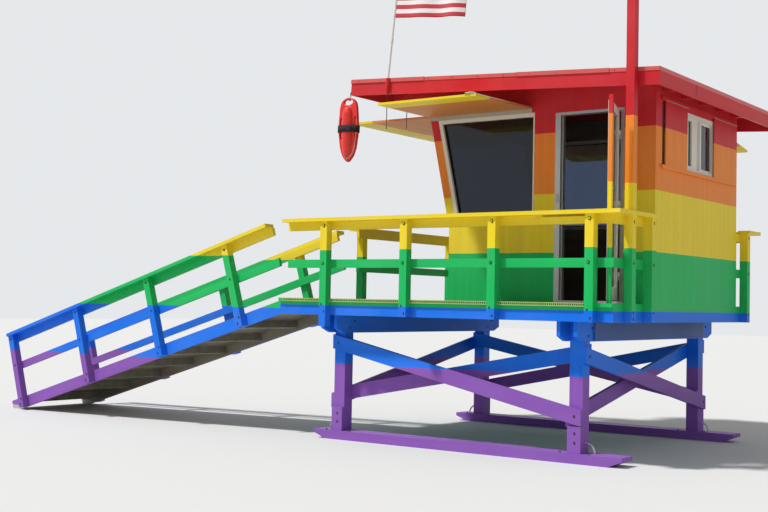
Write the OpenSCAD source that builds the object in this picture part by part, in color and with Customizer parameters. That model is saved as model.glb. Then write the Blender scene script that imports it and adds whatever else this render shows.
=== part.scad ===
// Beach lifeguard tower: a raised deck with a small hut, a ramp and railings.
// +X runs along the long side towards the hut's back wall, -X is the ramp end,
// -Y is the side with the door, +Z is up. The origin is on the underside of the
// near runner, midway between the two near legs.

/* [Runners] */
// Width of each runner
skid_w = 240; // [180:10:300]
// Height of each runner
skid_h = 96; // [60:2:140]
// Runner length ahead of the front leg's centre
skid_front = 300; // [200:10:600]
// Runner length behind the back leg's centre
skid_back = 500; // [200:10:700]
// Length of the bevel under each runner's nose
skid_bevel = 150; // [60:10:190]
// Height of the bevel under each runner's nose
skid_lift = 58; // [20:1:60]

/* [Legs and braces] */
// Side of each square leg
leg = 140; // [90:5:200]
// Leg spacing along X, centre to centre
leg_dx = 2853; // [2000:1:3400]
// Leg spacing along Y, centre to centre
leg_dy = 2901; // [2000:1:3400]
// Thickness of the boards bolted to the leg feet
foot_t = 38; // [20:1:50]
// Height of the boards bolted to the leg feet
foot_h = 254; // [150:2:400]
// Rod diameter of the tow hoops at the leg feet
hoop_d = 18; // [10:1:30]
// Bend radius of the tow hoops
hoop_r = 100; // [70:5:150]
// Thickness of the brace boards
brace_t = 38; // [20:1:50]
// Width of the brace boards
brace_w = 150; // [90:5:200]
// Height of the side braces' high ends, at their centre line
side_hi = 1045; // [900:5:1060]
// Height of the outer side braces' low ends
side_lo = 446; // [440:1:600]
// Height of the inner side braces' low ends
side_in_lo = 500; // [360:5:600]
// Height of the end braces' high ends
end_hi = 1015; // [900:5:1060]
// Height of the end braces' low ends
end_lo = 430; // [360:5:600]

/* [Cap beams] */
// Thickness of each of the two boards of a cap beam
beam_t = 38; // [25:1:60]
// Height of the cap beams
beam_h = 190; // [140:5:240]
// Cap beam length outside the near leg's centre
beam_near = 277; // [150:1:320]
// Cap beam length outside the far leg's centre
beam_far = 235; // [150:1:300]
// Height of the vertical end above a beam's chamfer
beam_nose = 139; // [60:1:180]
// Length of the chamfer under a beam's end
beam_chamfer = 125; // [40:5:170]
// Thickness of the bare board on the back beam
cover_t = 16; // [8:1:25]
// Height of the bare board on the back beam
cover_h = 170; // [100:5:175]
// Gap between the deck frame and that board
cover_drop = 10; // [0:1:15]

/* [Deck] */
// Deck length along X
deck_l = 4000; // [3000:10:5000]
// Deck width along Y
deck_w = 3550; // [3000:10:4500]
// Deck length ahead of the front leg's centre
deck_front = 655; // [400:5:900]
// Deck width outside the near leg's centre
deck_near = 327; // [200:1:500]
// Height of the underside of the deck frame
deck_z = 1347; // [1000:1:1800]
// Height of the deck's frame boards
rim_h = 140; // [89:1:190]
// Thickness of the deck's frame boards
rim_t = 38; // [25:1:60]
// Number of joists between the side boards
joists = 6; // [4:1:9]
// Thickness of the floor planks
plank_t = 38; // [25:1:50]
// Number of floor planks along the deck
planks = 16; // [12:1:20]
// Gap between floor planks
plank_gap = 6; // [3:1:12]
// How far the planks stand out past the side boards
plank_over = 30; // [0:1:60]
// Width of the solid board across the deck's back end
end_board = 235; // [140:5:300]

/* [Railing] */
// Side of the railing posts
post = 89; // [60:1:120]
// Height of the railing above the deck floor
rail_h = 861; // [700:1:1100]
// Width of the railing's flat cap
cap_w = 140; // [100:1:190]
// Thickness of the railing's flat cap
cap_t = 38; // [20:1:50]
// How far the cap stands out past the posts
cap_over = 26; // [0:1:50]
// Height of the railing boards
board_h = 89; // [60:1:140]
// Thickness of the railing boards
board_t = 38; // [20:1:50]
// Height of the middle board's centre above the floor
mid_h = 373; // [300:1:500]
// First side post's centre behind the deck's front edge
post_first = 665; // [400:5:900]
// Spacing of the side posts
post_step = 1043; // [700:1:1060]
// Posts along each side
side_posts = 4; // [3:1:4]
// How far the first side post reaches under the deck frame
post_drop = 120; // [0:5:180]
// How far the side rails reach ahead of the first post
rail_front = 520; // [300:5:600]
// Length of the short block board beside the last near post
block_l = 488; // [200:1:600]
// Height of that block board
block_h = 70; // [40:1:89]
// Thickness of that block board
block_t = 50; // [20:1:60]
// Front post's centre from the deck's near edge
front_post = 1545; // [1350:5:1900]
// How far the front rail boards reach past that post
front_over = 170; // [50:5:200]
// Near back post's centre from the deck's near edge
back_post_near = 705; // [500:5:850]
// Far back post's centre from the deck's far edge
back_post_far = 205; // [120:5:300]
// Mast centre from the deck's near edge
mast_y = 265; // [200:5:280]
// Side of the mast
mast_w = 83; // [60:1:110]
// Height of the mast's top
mast_top = 4900; // [4300:10:5400]
// Width of the slim post inside the near railing, along X
slim_x = 38; // [30:1:80]
// Width of the slim post along Y
slim_y = 30; // [20:1:80]
// Slim post's centre ahead of the deck's back edge
slim_back = 65; // [65:1:120]
// Height of the slim post's top
slim_top = 3460; // [2600:10:3500]

/* [Ramp] */
// Ramp width over the side boards
ramp_w = 1200; // [900:10:1300]
// Ramp slope in degrees
ramp_a = 16.8; // [10:0.1:25]
// Thickness of the ramp's floor panel
ramp_floor_t = 18; // [12:1:30]
// Railing height over the ramp, square to the slope
ramp_rail_h = 996; // [800:1:1100]
// Height of the ramp's middle board, square to the slope
ramp_mid_h = 556; // [400:1:700]
// Lower face of the first ramp post, down the slope
ramp_post_first = 590; // [400:5:800]
// Spacing of the ramp posts
ramp_post_step = 1325; // [900:5:1500]
// Posts on each side of the ramp
ramp_posts = 4; // [3:1:5]
// How far the ramp's rails reach up past the deck's edge
ramp_rail_up = 140; // [0:5:250]
// Spacing of the boards under the ramp
bearer_step = 610; // [400:5:900]
// Distance from the deck to the first of them, down the slope
bearer_first = 150; // [100:5:300]

/* [Hut] */
// Near walkway width, deck edge to wall
walk_near = 921; // [800:1:1000]
// Far walkway width, wall to deck edge
walk_far = 373; // [200:1:700]
// Hut length at floor level
hut_l = 2390; // [2100:10:2700]
// Wall thickness
wall_t = 90; // [60:1:120]
// Height above the deck floor where the front wall starts to lean
knee_h = 785; // [500:5:860]
// Outward lean of the front wall above its knee, in degrees
front_lean = 12.4; // [0:0.1:18]

/* [Windows] */
// Window sill height above the deck floor
sill_h = 897; // [865:1:1000]
// Height of the near, far and front windows
win_h = 1085; // [600:5:1200]
// Near window's straight side ahead of the deck's back edge
win_back = 1345; // [1200:5:1600]
// Distance from the leaning wall line to the near window
win_front = 105; // [60:5:200]
// Far window's end ahead of the deck's back edge
far_win_back = 300; // [200:5:800]
// Front window's distance from the side walls' outer faces
front_win_side = 160; // [110:5:300]
// Face width of the window frames
frame_w = 42; // [20:1:80]
// Face width of the near and far frames' straight jambs
frame_back_w = 15; // [10:1:80]
// Depth of the window frames
frame_d = 70; // [40:1:90]
// How far the near, far and front frames stand out from the walls
frame_proud = 8; // [2:1:9]
// Glass thickness
glass_t = 6; // [4:1:12]
// Back window's near edge from the hut's near wall
back_win_y = 787; // [600:1:900]
// Back window's width
back_win_w = 748; // [500:1:1000]
// Back window's height
back_win_h = 615; // [400:5:700]
// Back window's sill height above the deck floor
back_sill_h = 1375; // [1200:5:1500]

/* [Sliding panels] */
// Near sliding panel's width
panel_near = 558; // [400:1:600]
// Far sliding panel's width
panel_far = 670; // [400:1:700]
// Thickness of the sliding panels
panel_t = 12; // [10:1:30]
// Standoff of the panels from the wall
panel_off = 8; // [6:1:20]
// Distance from the back window's sides to the panels, towards the near side
panel_shift = 28; // [0:1:50]
// How far the panels reach above the back window
panel_over = 40; // [10:5:60]
// Height of the panel tracks
track_h = 30; // [20:1:50]
// How far the tracks reach past the near panel
track_over = 85; // [5:5:120]
// Thickness of the tracks' outer lip
track_lip = 6; // [4:1:10]
// How deep the panels sit in their tracks
track_in = 8; // [5:1:15]

/* [Door] */
// Distance from the deck's back edge to the door frame
door_inset = 332; // [250:1:500]
// Door frame's overall width
door_w = 771; // [650:1:900]
// Door frame's overall height
door_h = 1960; // [1800:5:2050]
// Face width of the jamb on the hinge side
jamb_w = 40; // [25:1:60]
// Face width of the jamb on the latch side
latch_jamb_w = 60; // [40:1:90]
// Face height of the door frame's head
head_h = 28; // [20:1:90]
// Height of the door sill
door_sill = 25; // [10:1:50]
// Width of the door stop
stop_w = 12; // [6:1:25]
// Gap between the shut leaf and its stop
stop_gap = 6; // [5:1:10]
// Door leaf thickness
leaf_t = 35; // [25:1:50]
// Gap round the door leaf
leaf_gap = 6; // [5:1:10]
// Width of the leaf's stiles and rails
stile_w = 60; // [40:5:100]
// How far the door stands open, in degrees
door_open = 109; // [90:1:115]
// Hinge barrel diameter
hinge_d = 16; // [12:1:22]
// Hinge pin diameter
pin_d = 7; // [5:1:9]
// Length of each hinge barrel half
hinge_h = 42; // [30:1:60]
// Distance from the leaf's ends to its outer hinges
hinge_in = 200; // [120:10:300]
// Gap between the hinge barrels and the shut leaf
hinge_off = 2; // [1:0.5:4]
// Thickness of the hinge plates
plate_t = 5; // [4:0.5:6]
// Width of the hinge plates
plate_w = 34; // [26:1:36]

/* [Shutters] */
// Length of the front and far shutters from hinge to free edge
shutter_l = 1060; // [900:10:1130]
// Length of the near shutter from hinge to free edge
near_shutter_l = 1110; // [900:10:1150]
// Shutter thickness
shutter_t = 24; // [18:1:40]
// Near shutter's width
shutter_w = 1276; // [1100:2:1400]
// Distance from the near window's end to the near shutter's end
shutter_in = 37; // [10:1:60]
// How far the near shutter's free edge is cut back at its front corner
shutter_slant = 90; // [0:5:150]
// Distance from the hut's side faces to the front shutter's ends
front_shutter_in = 6; // [6:1:80]
// How far the far shutter reaches past the far window
far_shutter_over = 50; // [0:1:60]
// Tilt of the near shutter below level, in degrees
near_tilt = 1.5; // [0:0.5:10]
// Tilt of the front shutter below level, in degrees
front_tilt = 0; // [0:0.5:10]
// Tilt of the far shutter below level, in degrees
far_tilt = 8; // [0:0.5:15]
// Hinge line height above the deck floor
shutter_h = 2024; // [2010:1:2060]
// Hinge line's distance from the wall
flap_off = 14; // [14:1:20]
// Hinge barrel diameter of the shutters
flap_barrel_d = 12; // [10:1:14]
// Hinge pin diameter of the shutters
flap_pin_d = 6; // [4:1:7]
// Length of each half barrel
flap_run = 40; // [30:1:60]
// Distance from the shutter's ends to its outer hinges
flap_end = 60; // [40:5:150]
// How far the hinge strips reach above the hinge line
strip_up = 12; // [10:1:20]
// How far the hinge strips reach below the hinge line
strip_drop = 40; // [20:1:60]
// Thickness of the hinge strip
strip_t = 6; // [4:1:8]
// Diameter of the two hook rods under the eave
hook_d = 9; // [6:1:14]
// Length of the hook rods below the roof
hook_l = 485; // [300:5:600]
// Distance of the hook rods from the near eave
hook_y = 310; // [200:10:500]
// Place of the first rod, as a share of the way from the front eave to the near shutter
hook_first = 0.4; // [0.2:0.01:0.5]
// Place of the second rod, as a share of the same way
hook_second = 0.82; // [0.6:0.01:0.9]

/* [Roof] */
// Roof length along the slope
roof_l = 3608; // [3000:1:4200]
// Roof width
roof_w = 3477; // [2800:1:4200]
// Roof overhang past the back wall
roof_back = 300; // [150:5:500]
// Roof overhang past the near wall
roof_near = 611; // [300:1:640]
// Fall of the roof towards the back, in degrees
roof_a = 3.18; // [1:0.01:8]
// Height of the roof's top at its back edge
roof_z = 3730; // [3600:5:3900]
// Thickness of the roof sheet
sheet_t = 20; // [12:1:40]
// Height of the fascia boards
fascia_h = 168; // [120:1:220]
// Thickness of the fascia boards
fascia_t = 25; // [18:1:40]
// Rafter height
rafter_h = 89; // [60:1:140]
// Rafter thickness
rafter_t = 38; // [25:1:50]
// Number of rafters over the hut
rafters = 5; // [4:1:7]
// Distance from the side walls to the outer rafters
rafter_in = 60; // [0:5:200]

/* [Flag and rescue float] */
// Flagpole diameter
pole_d = 28; // [20:1:40]
// Flagpole length
pole_l = 1450; // [1200:10:2200]
// Lean of the flagpole towards the back, in degrees
pole_lean = 6; // [0:0.5:12]
// Length of the flagpole's socket
socket_l = 150; // [100:10:160]
// Wall thickness of the socket and of its floor
socket_t = 8; // [4:1:14]
// Flagpole's foot behind the roof's front edge
pole_x = 490; // [300:5:900]
// Flag length
flag_l = 880; // [600:10:1000]
// Flag height
flag_h = 600; // [400:10:700]
// Thickness of the flag cloth
flag_t = 4; // [2:1:6]
// Number of waves along the flag
flag_waves = 2; // [1:1:4]
// Depth of the waves at the flag's free end
flag_wave_a = 35; // [0:5:60]
// Distance from the pole's top to the flag
flag_top = 50; // [20:5:200]
// Rescue float's length without its top handle
float_l = 640; // [500:10:750]
// Rescue float's body diameter
float_d = 170; // [150:5:200]
// Rod diameter of the float's handles
grip_d = 22; // [16:1:28]
// Gap between the float's body and its side handles
grip_gap = 26; // [20:1:40]
// Bend radius of the float's top handle
float_loop_r = 62; // [50:1:70]
// Float's distance ahead of the roof's front edge
float_out = 45; // [30:1:120]
// Float's distance inside the roof's near edge
float_in = 20; // [10:1:200]
// Length of the float's nose below its side handles
float_nose = 230; // [180:10:280]
// Gap between the roof's front corner and the float's top
float_drop = 20; // [10:1:60]
// Rod diameter of the float's hook
float_hook_d = 10; // [6:1:12]

/* [Hidden] */
$fn = 48;
eps = 1;
seat = 0.3;
pin_play = 0.1;

// Paint colours
red = [0.80, 0.24, 0.26];
orange = [0.93, 0.58, 0.24];
yellow = [0.93, 0.86, 0.25];
green = [0.18, 0.72, 0.42];
blue = [0.12, 0.48, 0.95];
purple = [0.62, 0.38, 0.74];
bare = [0.45, 0.42, 0.36];
metal = [0.62, 0.63, 0.62];
glass = [0.13, 0.15, 0.17, 0.6];
white = [0.92, 0.92, 0.90];

// Places of the legs and the deck
leg_x = leg_dx/2;
front_x = -leg_x - deck_front;
back_x = front_x + deck_l;
near_y = -deck_near;
far_y = near_y + deck_w;
rim_z = deck_z + rim_h;
floor_z = rim_z + plank_t;
rail_z = floor_z + rail_h;
cap_z = rail_z - cap_t;
mid_z = floor_z + mid_h;
cap_in = cap_w - cap_over - post;
rail_x0 = front_x + post_first - post/2 - rail_front;

// Hut planes and the slope of its roof
hut_y0 = near_y + walk_near;
hut_y1 = far_y - walk_far;
hut_w = hut_y1 - hut_y0;
hut_x0 = back_x - hut_l;
lean = tan(front_lean);
lean_t = wall_t/cos(front_lean);
roof_x = back_x + roof_back;
roof_y = hut_y0 - roof_near;
roof_x0 = roof_x - roof_l*cos(roof_a);
function roof_top(x) = roof_z + (roof_x - x)*tan(roof_a);
function roof_under(x) = roof_top(x) - sheet_t/cos(roof_a) - seat;
knee_z = floor_z + knee_h;
function front_at(z) = hut_x0 - max(0, z - knee_z)*lean;
sill_z = floor_z + sill_h;
win_z = sill_z + win_h;
win_x1 = back_x - win_back;
// The corner where the leaning wall line meets the roof's underside
top_x = (hut_x0 - (roof_under(0) - knee_z)*lean)/(1 - lean*tan(roof_a));

// Door places
door_x1 = back_x - door_inset;
door_x0 = door_x1 - door_w;
door_top = floor_z + door_h;
head_z = door_top - head_h;
leaf_top = head_z - leaf_gap;
leaf_z = floor_z + door_sill + leaf_gap;
pivot_x = door_x1 - jamb_w;
pivot_y = hut_y0 - hinge_d/2 - hinge_off;
leaf_y = hinge_d/2 + hinge_off;
leaf_len = door_w - jamb_w - latch_jamb_w - 2*leaf_gap;
hinge_zs = [leaf_z + hinge_in, (leaf_z + leaf_top)/2 - hinge_h,
    leaf_top - hinge_in - 2*hinge_h];

// Ramp: down the slope is local -X, square to it is local +Z
ramp_z = deck_z;
ramp_len = ramp_post_first + (ramp_posts - 1)*ramp_post_step;
ramp_foot = ramp_z/sin(ramp_a);

// The sliding panels, pushed apart to either side of the back window
panel_z0 = floor_z + back_sill_h;
panel_z1 = panel_z0 + back_win_h + panel_over;
panels_y0 = hut_y0 + back_win_y - panel_shift - panel_near;
panels_y1 = hut_y0 + back_win_y + back_win_w - panel_shift + panel_far;

// Shutter hinge lines
shutter_z = floor_z + shutter_h;
shutter_x1 = win_x1 - shutter_in;
flap_gap = flap_barrel_d/2 + 2;
front_pivot_x = front_at(shutter_z) - flap_off/cos(front_lean);
front_shutter_w = hut_w - 2*front_shutter_in;
far_shutter_x1 = back_x - far_win_back + far_shutter_over;
far_shutter_w = far_shutter_x1 - front_at(win_z) - win_front + far_shutter_over;

// A board from (x0, y0, z0) to (x1, y1, z1)
module box(x0, x1, y0, y1, z0, z1) {
    translate([min(x0, x1), min(y0, y1), min(z0, z1)])
        cube([abs(x1 - x0), abs(y1 - y0), abs(z1 - z0)]);
}

// A solid with an XZ outline between two Y planes
module side_cut(points, y0, y1) {
    translate([0, y1, 0]) rotate([90, 0, 0]) linear_extrude(y1 - y0) polygon(points);
}

// A solid with a YZ outline between two X planes
module end_cut(points, x0, x1) {
    translate([x0, 0, 0]) rotate([90, 0, 90]) linear_extrude(x1 - x0) polygon(points);
}

// A round rod between two points
module rod(p, q, d) {
    v = q - p;
    l = norm(v);
    translate(p) rotate([0, acos(v[2]/l), atan2(v[1], v[0])]) cylinder(d=d, h=l);
}

module skids() {
    x0 = -leg_x - skid_front;
    x1 = leg_x + skid_back;
    for (y = [0, leg_dy]) color(purple)
        side_cut([[x0, skid_lift], [x0 + skid_bevel, 0], [x1 - skid_bevel, 0], [x1, skid_lift],
            [x1, skid_h], [x0, skid_h]], y - skid_w/2, y + skid_w/2);
}

module legs() {
    for (x = [-leg_x, leg_x], y = [0, leg_dy]) color(purple)
        box(x - leg/2, x + leg/2, y - leg/2, y + leg/2, skid_h, deck_z);
}

module foot_plates() {
    for (x = [-leg_x, leg_x], y = [-leg/2 - foot_t, leg_dy + leg/2]) color(purple)
        box(x - leg/2, x + leg/2, y, y + foot_t, skid_h, skid_h + foot_h);
}

// A quarter ring of rod, from a leg's face at x down to the runner
module hoop(x, y, side) {
    reach = hoop_r + hoop_d;
    intersection() {
        translate([x, y, skid_h]) rotate([90, 0, 0]) rotate_extrude()
            translate([hoop_r, 0]) circle(d=hoop_d);
        box(x, x + side*reach, y - hoop_d, y + hoop_d, skid_h, skid_h + reach);
    }
}

module tow_hoops() {
    for (y = [0, leg_dy], side = [-1, 1]) color(purple) hoop(side*(leg_x + leg/2), y, side);
}

// A slanting board of a brace pair, across two legs a span apart, cut flush with their sides
module brace(span, z0, z1) {
    rise = (z1 - z0)/span;
    half = brace_w/2*sqrt(1 + rise*rise);
    e = leg/2;
    polygon([[-e, z0 - rise*e - half], [span + e, z1 + rise*e - half],
        [span + e, z1 + rise*e + half], [-e, z0 - rise*e + half]]);
}

module side_brace(y, z0, z1) {
    translate([-leg_x, y + brace_t, 0]) rotate([90, 0, 0]) linear_extrude(brace_t)
        brace(leg_dx, z0, z1);
}

module end_brace(x, z0, z1) {
    translate([x, 0, 0]) rotate([90, 0, 90]) linear_extrude(brace_t) brace(leg_dy, z0, z1);
}

module outer_braces() {
    color(purple) side_brace(-leg/2 - brace_t, side_hi, side_lo);
    color(purple) side_brace(leg_dy + leg/2, side_lo, side_hi);
    color(purple) end_brace(leg_x + leg/2, end_hi, end_lo);
    color(purple) end_brace(-leg_x - leg/2 - brace_t, end_lo, end_hi);
}

module inner_braces() {
    color(purple) side_brace(leg/2, side_in_lo, side_hi);
    color(purple) side_brace(leg_dy - leg/2 - brace_t, side_hi, side_in_lo);
    color(purple) end_brace(leg_x - leg/2 - brace_t, end_lo, end_hi);
    color(purple) end_brace(-leg_x + leg/2, end_hi, end_lo);
}

module cap_beams() {
    y0 = -beam_near;
    y1 = leg_dy + beam_far;
    z0 = deck_z - beam_h;
    zn = deck_z - beam_nose;
    for (x = [-leg_x, leg_x], s = [-leg/2 - beam_t, leg/2]) color(blue)
        end_cut([[y0, zn], [y0 + beam_chamfer, z0], [y1 - beam_chamfer, z0], [y1, zn],
            [y1, deck_z], [y0, deck_z]], x + s, x + s + beam_t);
}

// The board on the back beam's outer face, bare
module beam_cover_board() {
    x = leg_x + leg/2 + beam_t;
    z = deck_z - cover_drop;
    color(blue) box(x, x + cover_t, leg/2, leg_dy - leg/2, z - cover_h, z);
}

module deck_side_rims() {
    for (y = [near_y, far_y - rim_t]) color(blue)
        box(front_x, back_x, y, y + rim_t, deck_z, rim_z);
}

module deck_end_rims() {
    for (x = [front_x, back_x - rim_t]) color(blue)
        box(x, x + rim_t, near_y + rim_t, far_y - rim_t, deck_z, rim_z);
}

module deck_joists() {
    step = (deck_w - rim_t)/(joists + 1);
    for (i = [1:joists]) color(blue)
        box(front_x + rim_t, back_x - rim_t, near_y + i*step, near_y + i*step + rim_t,
            deck_z, rim_z);
}

// Planks laid across the joists, notched round the posts that stand beside them
module deck_planks() {
    pitch = (deck_l - end_board)/planks;
    color(green) difference() {
        union() {
            for (i = [0:planks - 1])
                box(front_x + i*pitch, front_x + (i + 1)*pitch - plank_gap,
                    near_y - plank_over, far_y + plank_over, rim_z, floor_z);
            box(back_x - end_board, back_x, near_y - plank_over, far_y + plank_over,
                rim_z, floor_z);
        }
        side_posts();
    }
}

// A square post on the outer face of the deck's frame
module rail_post(x, y, drop=0) {
    box(x - post/2, x + post/2, y - post/2, y + post/2, deck_z - drop, cap_z);
}

module side_posts() {
    for (i = [0:side_posts - 1]) {
        rail_post(front_x + post_first + i*post_step, near_y - post/2, i == 0 ? post_drop : 0);
        rail_post(front_x + post_first + i*post_step, far_y + post/2);
    }
}

module rail_posts() {
    color(yellow) side_posts();
    color(yellow) rail_post(front_x - post/2, near_y + front_post);
    color(yellow) rail_post(front_x - post/2, far_y - post/2);
    color(yellow) rail_post(back_x + post/2, near_y + back_post_near);
    color(yellow) rail_post(back_x + post/2, far_y - back_post_far);
}

// The top and middle boards of a rail, between two corners
module board_pair(x0, x1, y0, y1) {
    box(x0, x1, y0, y1, cap_z - board_h, cap_z);
    box(x0, x1, y0, y1, mid_z - board_h/2, mid_z + board_h/2);
}

module side_rail_boards() {
    last = front_x + post_first + (side_posts - 1)*post_step - post/2;
    color(yellow) board_pair(rail_x0, back_x, near_y, near_y + board_t);
    color(yellow) board_pair(front_x + board_t, back_x, far_y - board_t, far_y);
    color(yellow) box(last - block_l, last, near_y - block_t, near_y,
        cap_z - board_h, cap_z - board_h + block_h);
}

module end_rail_boards() {
    color(yellow) board_pair(front_x, front_x + board_t,
        near_y + front_post - front_over, far_y);
    color(yellow) board_pair(back_x - board_t, back_x, near_y + board_t, hut_y0);
    color(yellow) board_pair(back_x - board_t, back_x, hut_y1, far_y - board_t);
}

module side_rail_caps() {
    color(yellow) box(rail_x0, back_x + post + cap_over, near_y - post - cap_over,
        near_y + cap_in, cap_z, rail_z);
    color(yellow) box(front_x - post - cap_over, back_x + post + cap_over,
        far_y - cap_in, far_y + post + cap_over, cap_z, rail_z);
}

module end_rail_caps() {
    y0 = near_y + cap_in;
    y1 = far_y - cap_in;
    color(yellow) box(front_x - post - cap_over, front_x + cap_in,
        near_y + front_post - front_over, y1, cap_z, rail_z);
    color(yellow) difference() {
        box(back_x - cap_in, back_x + post + cap_over, y0,
            near_y + back_post_near + post/2, cap_z, rail_z);
        box(back_x, back_x + mast_w, near_y + mast_y - mast_w/2, near_y + mast_y + mast_w/2,
            cap_z - eps, rail_z + eps);
    }
    color(yellow) box(back_x - cap_in, back_x + post + cap_over,
        far_y - back_post_far - post/2, y1, cap_z, rail_z);
}

// Puts its children in the ramp's frame, at the foot of the deck's front face
module on_ramp() {
    translate([front_x, near_y, ramp_z]) rotate([0, -ramp_a, 0]) children();
}

// Keeps what lies ahead of the deck and above the ground
module ramp_trim() {
    intersection() {
        on_ramp() children();
        box(front_x - 3*ramp_foot, front_x, near_y - cap_w, near_y + ramp_w + cap_w,
            0, 3*deck_z);
    }
}

module ramp_stringers() {
    for (y = [0, ramp_w - rim_t]) color(blue) ramp_trim()
        translate([-ramp_foot - rim_h, y, 0]) cube([ramp_foot + 3*rim_h, rim_t, rim_h]);
}

module ramp_floor() {
    color(bare) ramp_trim() translate([-ramp_foot - rim_h, rim_t, rim_h - ramp_floor_t])
        cube([ramp_foot + 3*rim_h, ramp_w - 2*rim_t, ramp_floor_t]);
}

module ramp_bearers() {
    n = floor((ramp_foot - rim_h)/bearer_step);
    for (i = [0:n]) color(bare) ramp_trim()
        translate([-bearer_first - i*bearer_step, rim_t, rim_h - ramp_floor_t - board_h])
            cube([rim_t, ramp_w - 2*rim_t, board_h]);
}

module ramp_rail_posts() {
    for (i = [0:ramp_posts - 1], y = [-post, ramp_w]) color(green) on_ramp()
        translate([-ramp_post_first - i*ramp_post_step, y, 0])
            cube([post, post, ramp_rail_h - cap_t]);
}

module ramp_rail_boards() {
    for (y = [0, ramp_w - board_t], z = [ramp_rail_h - cap_t - board_h, ramp_mid_h - board_h/2])
        color(green) on_ramp() translate([-ramp_len, y, z])
            cube([ramp_len + ramp_rail_up, board_t, board_h]);
}

module ramp_rail_caps() {
    for (y = [-post - cap_over, ramp_w - cap_in]) color(green) on_ramp()
        translate([-ramp_len, y, ramp_rail_h - cap_t]) cube([ramp_len + ramp_rail_up, cap_w, cap_t]);
}

// The side walls' outline: a front that leans above its knee, and a sloping top
module side_wall_shape(x_end) {
    polygon([[hut_x0, floor_z], [x_end, floor_z], [x_end, roof_under(x_end)],
        [top_x, roof_under(top_x)], [hut_x0, knee_z]]);
}

// The near window: its front side leans with the wall
function near_win() = [
    [front_at(sill_z) + win_front, sill_z], [win_x1, sill_z],
    [win_x1, win_z], [front_at(win_z) + win_front, win_z]];
function far_win() = [
    [front_at(sill_z) + win_front, sill_z], [back_x - far_win_back, sill_z],
    [back_x - far_win_back, win_z], [front_at(win_z) + win_front, win_z]];

// A wall with a side outline, from one Y plane to another
module wall_slab(y0, y1) {
    translate([0, y1, 0]) rotate([90, 0, 0]) linear_extrude(y1 - y0) children();
}

module near_wall_front() {
    color(yellow) wall_slab(hut_y0, hut_y0 + wall_t) difference() {
        side_wall_shape(door_x0);
        polygon(near_win());
    }
}

module near_wall_over_door() {
    color(red) side_cut([[door_x0, door_top], [door_x1, door_top],
        [door_x1, roof_under(door_x1)], [door_x0, roof_under(door_x0)]], hut_y0, hut_y0 + wall_t);
}

module near_wall_back() {
    x1 = back_x - wall_t;
    color(yellow) side_cut([[door_x1, floor_z], [x1, floor_z],
        [x1, roof_under(x1)], [door_x1, roof_under(door_x1)]], hut_y0, hut_y0 + wall_t);
}

module far_wall() {
    color(yellow) wall_slab(hut_y1 - wall_t, hut_y1) difference() {
        side_wall_shape(back_x - wall_t);
        polygon(far_win());
    }
}

// A strip of the leaning front wall between two heights
function lean_strip(z0, z1, d0, d1) = [
    [front_at(z0) + d0, z0], [front_at(z1) + d0, z1],
    [front_at(z1) + d1, z1], [front_at(z0) + d1, z0]];

module front_wall() {
    y0 = hut_y0 + wall_t;
    y1 = hut_y1 - wall_t;
    color(yellow) difference() {
        side_cut([[hut_x0, floor_z], [hut_x0 + wall_t, floor_z],
            [hut_x0 + wall_t, knee_z + wall_t*tan(front_lean/2)],
            [top_x + lean_t, roof_under(top_x + lean_t)], [top_x, roof_under(top_x)],
            [hut_x0, knee_z]], y0, y1);
        side_cut(lean_strip(sill_z, win_z, -wall_t, 2*wall_t),
            hut_y0 + front_win_side, hut_y1 - front_win_side);
        rafter_set();
    }
}

module back_wall() {
    x0 = back_x - wall_t;
    z0 = floor_z + back_sill_h;
    color(yellow) difference() {
        side_cut([[x0, floor_z], [back_x, floor_z], [back_x, roof_under(back_x)],
            [x0, roof_under(x0)]], hut_y0, hut_y1);
        box(x0 - eps, back_x + eps, hut_y0 + back_win_y, hut_y0 + back_win_y + back_win_w,
            z0, z0 + back_win_h);
        rafter_set();
    }
}

// A leaning window's opening inside its frame, whose straight jamb is slimmer
function inner_win(p) = [
    [p[0][0] + frame_w/cos(front_lean) - frame_w*lean, p[0][1] + frame_w],
    [p[1][0] - frame_back_w, p[1][1] + frame_w],
    [p[2][0] - frame_back_w, p[2][1] - frame_w],
    [p[3][0] + frame_w/cos(front_lean) + frame_w*lean, p[3][1] - frame_w]];

module side_frame(p) {
    difference() {
        polygon(p);
        polygon(inner_win(p));
    }
}

module window_frames() {
    y0 = hut_y0 - frame_proud;
    y1 = hut_y1 + frame_proud;
    color(white) wall_slab(y0, y0 + frame_d) side_frame(near_win());
    color(white) wall_slab(y1 - frame_d, y1) side_frame(far_win());
    color(white) difference() {
        side_cut(lean_strip(sill_z, win_z, -frame_proud, frame_d), hut_y0 + front_win_side,
            hut_y1 - front_win_side);
        side_cut(lean_strip(sill_z + frame_w, win_z - frame_w, -wall_t, 2*wall_t),
            hut_y0 + front_win_side + frame_w, hut_y1 - front_win_side - frame_w);
    }
    y = hut_y0 + back_win_y;
    z = floor_z + back_sill_h;
    half = (back_win_w - 3*frame_w)/2;
    color(white) difference() {
        box(back_x - frame_d, back_x, y, y + back_win_w, z, z + back_win_h);
        for (i = [0, 1]) box(back_x - 2*frame_d, back_x + frame_d,
            y + frame_w + i*(half + frame_w), y + frame_w + i*(half + frame_w) + half,
            z + frame_w, z + back_win_h - frame_w);
    }
}

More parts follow.
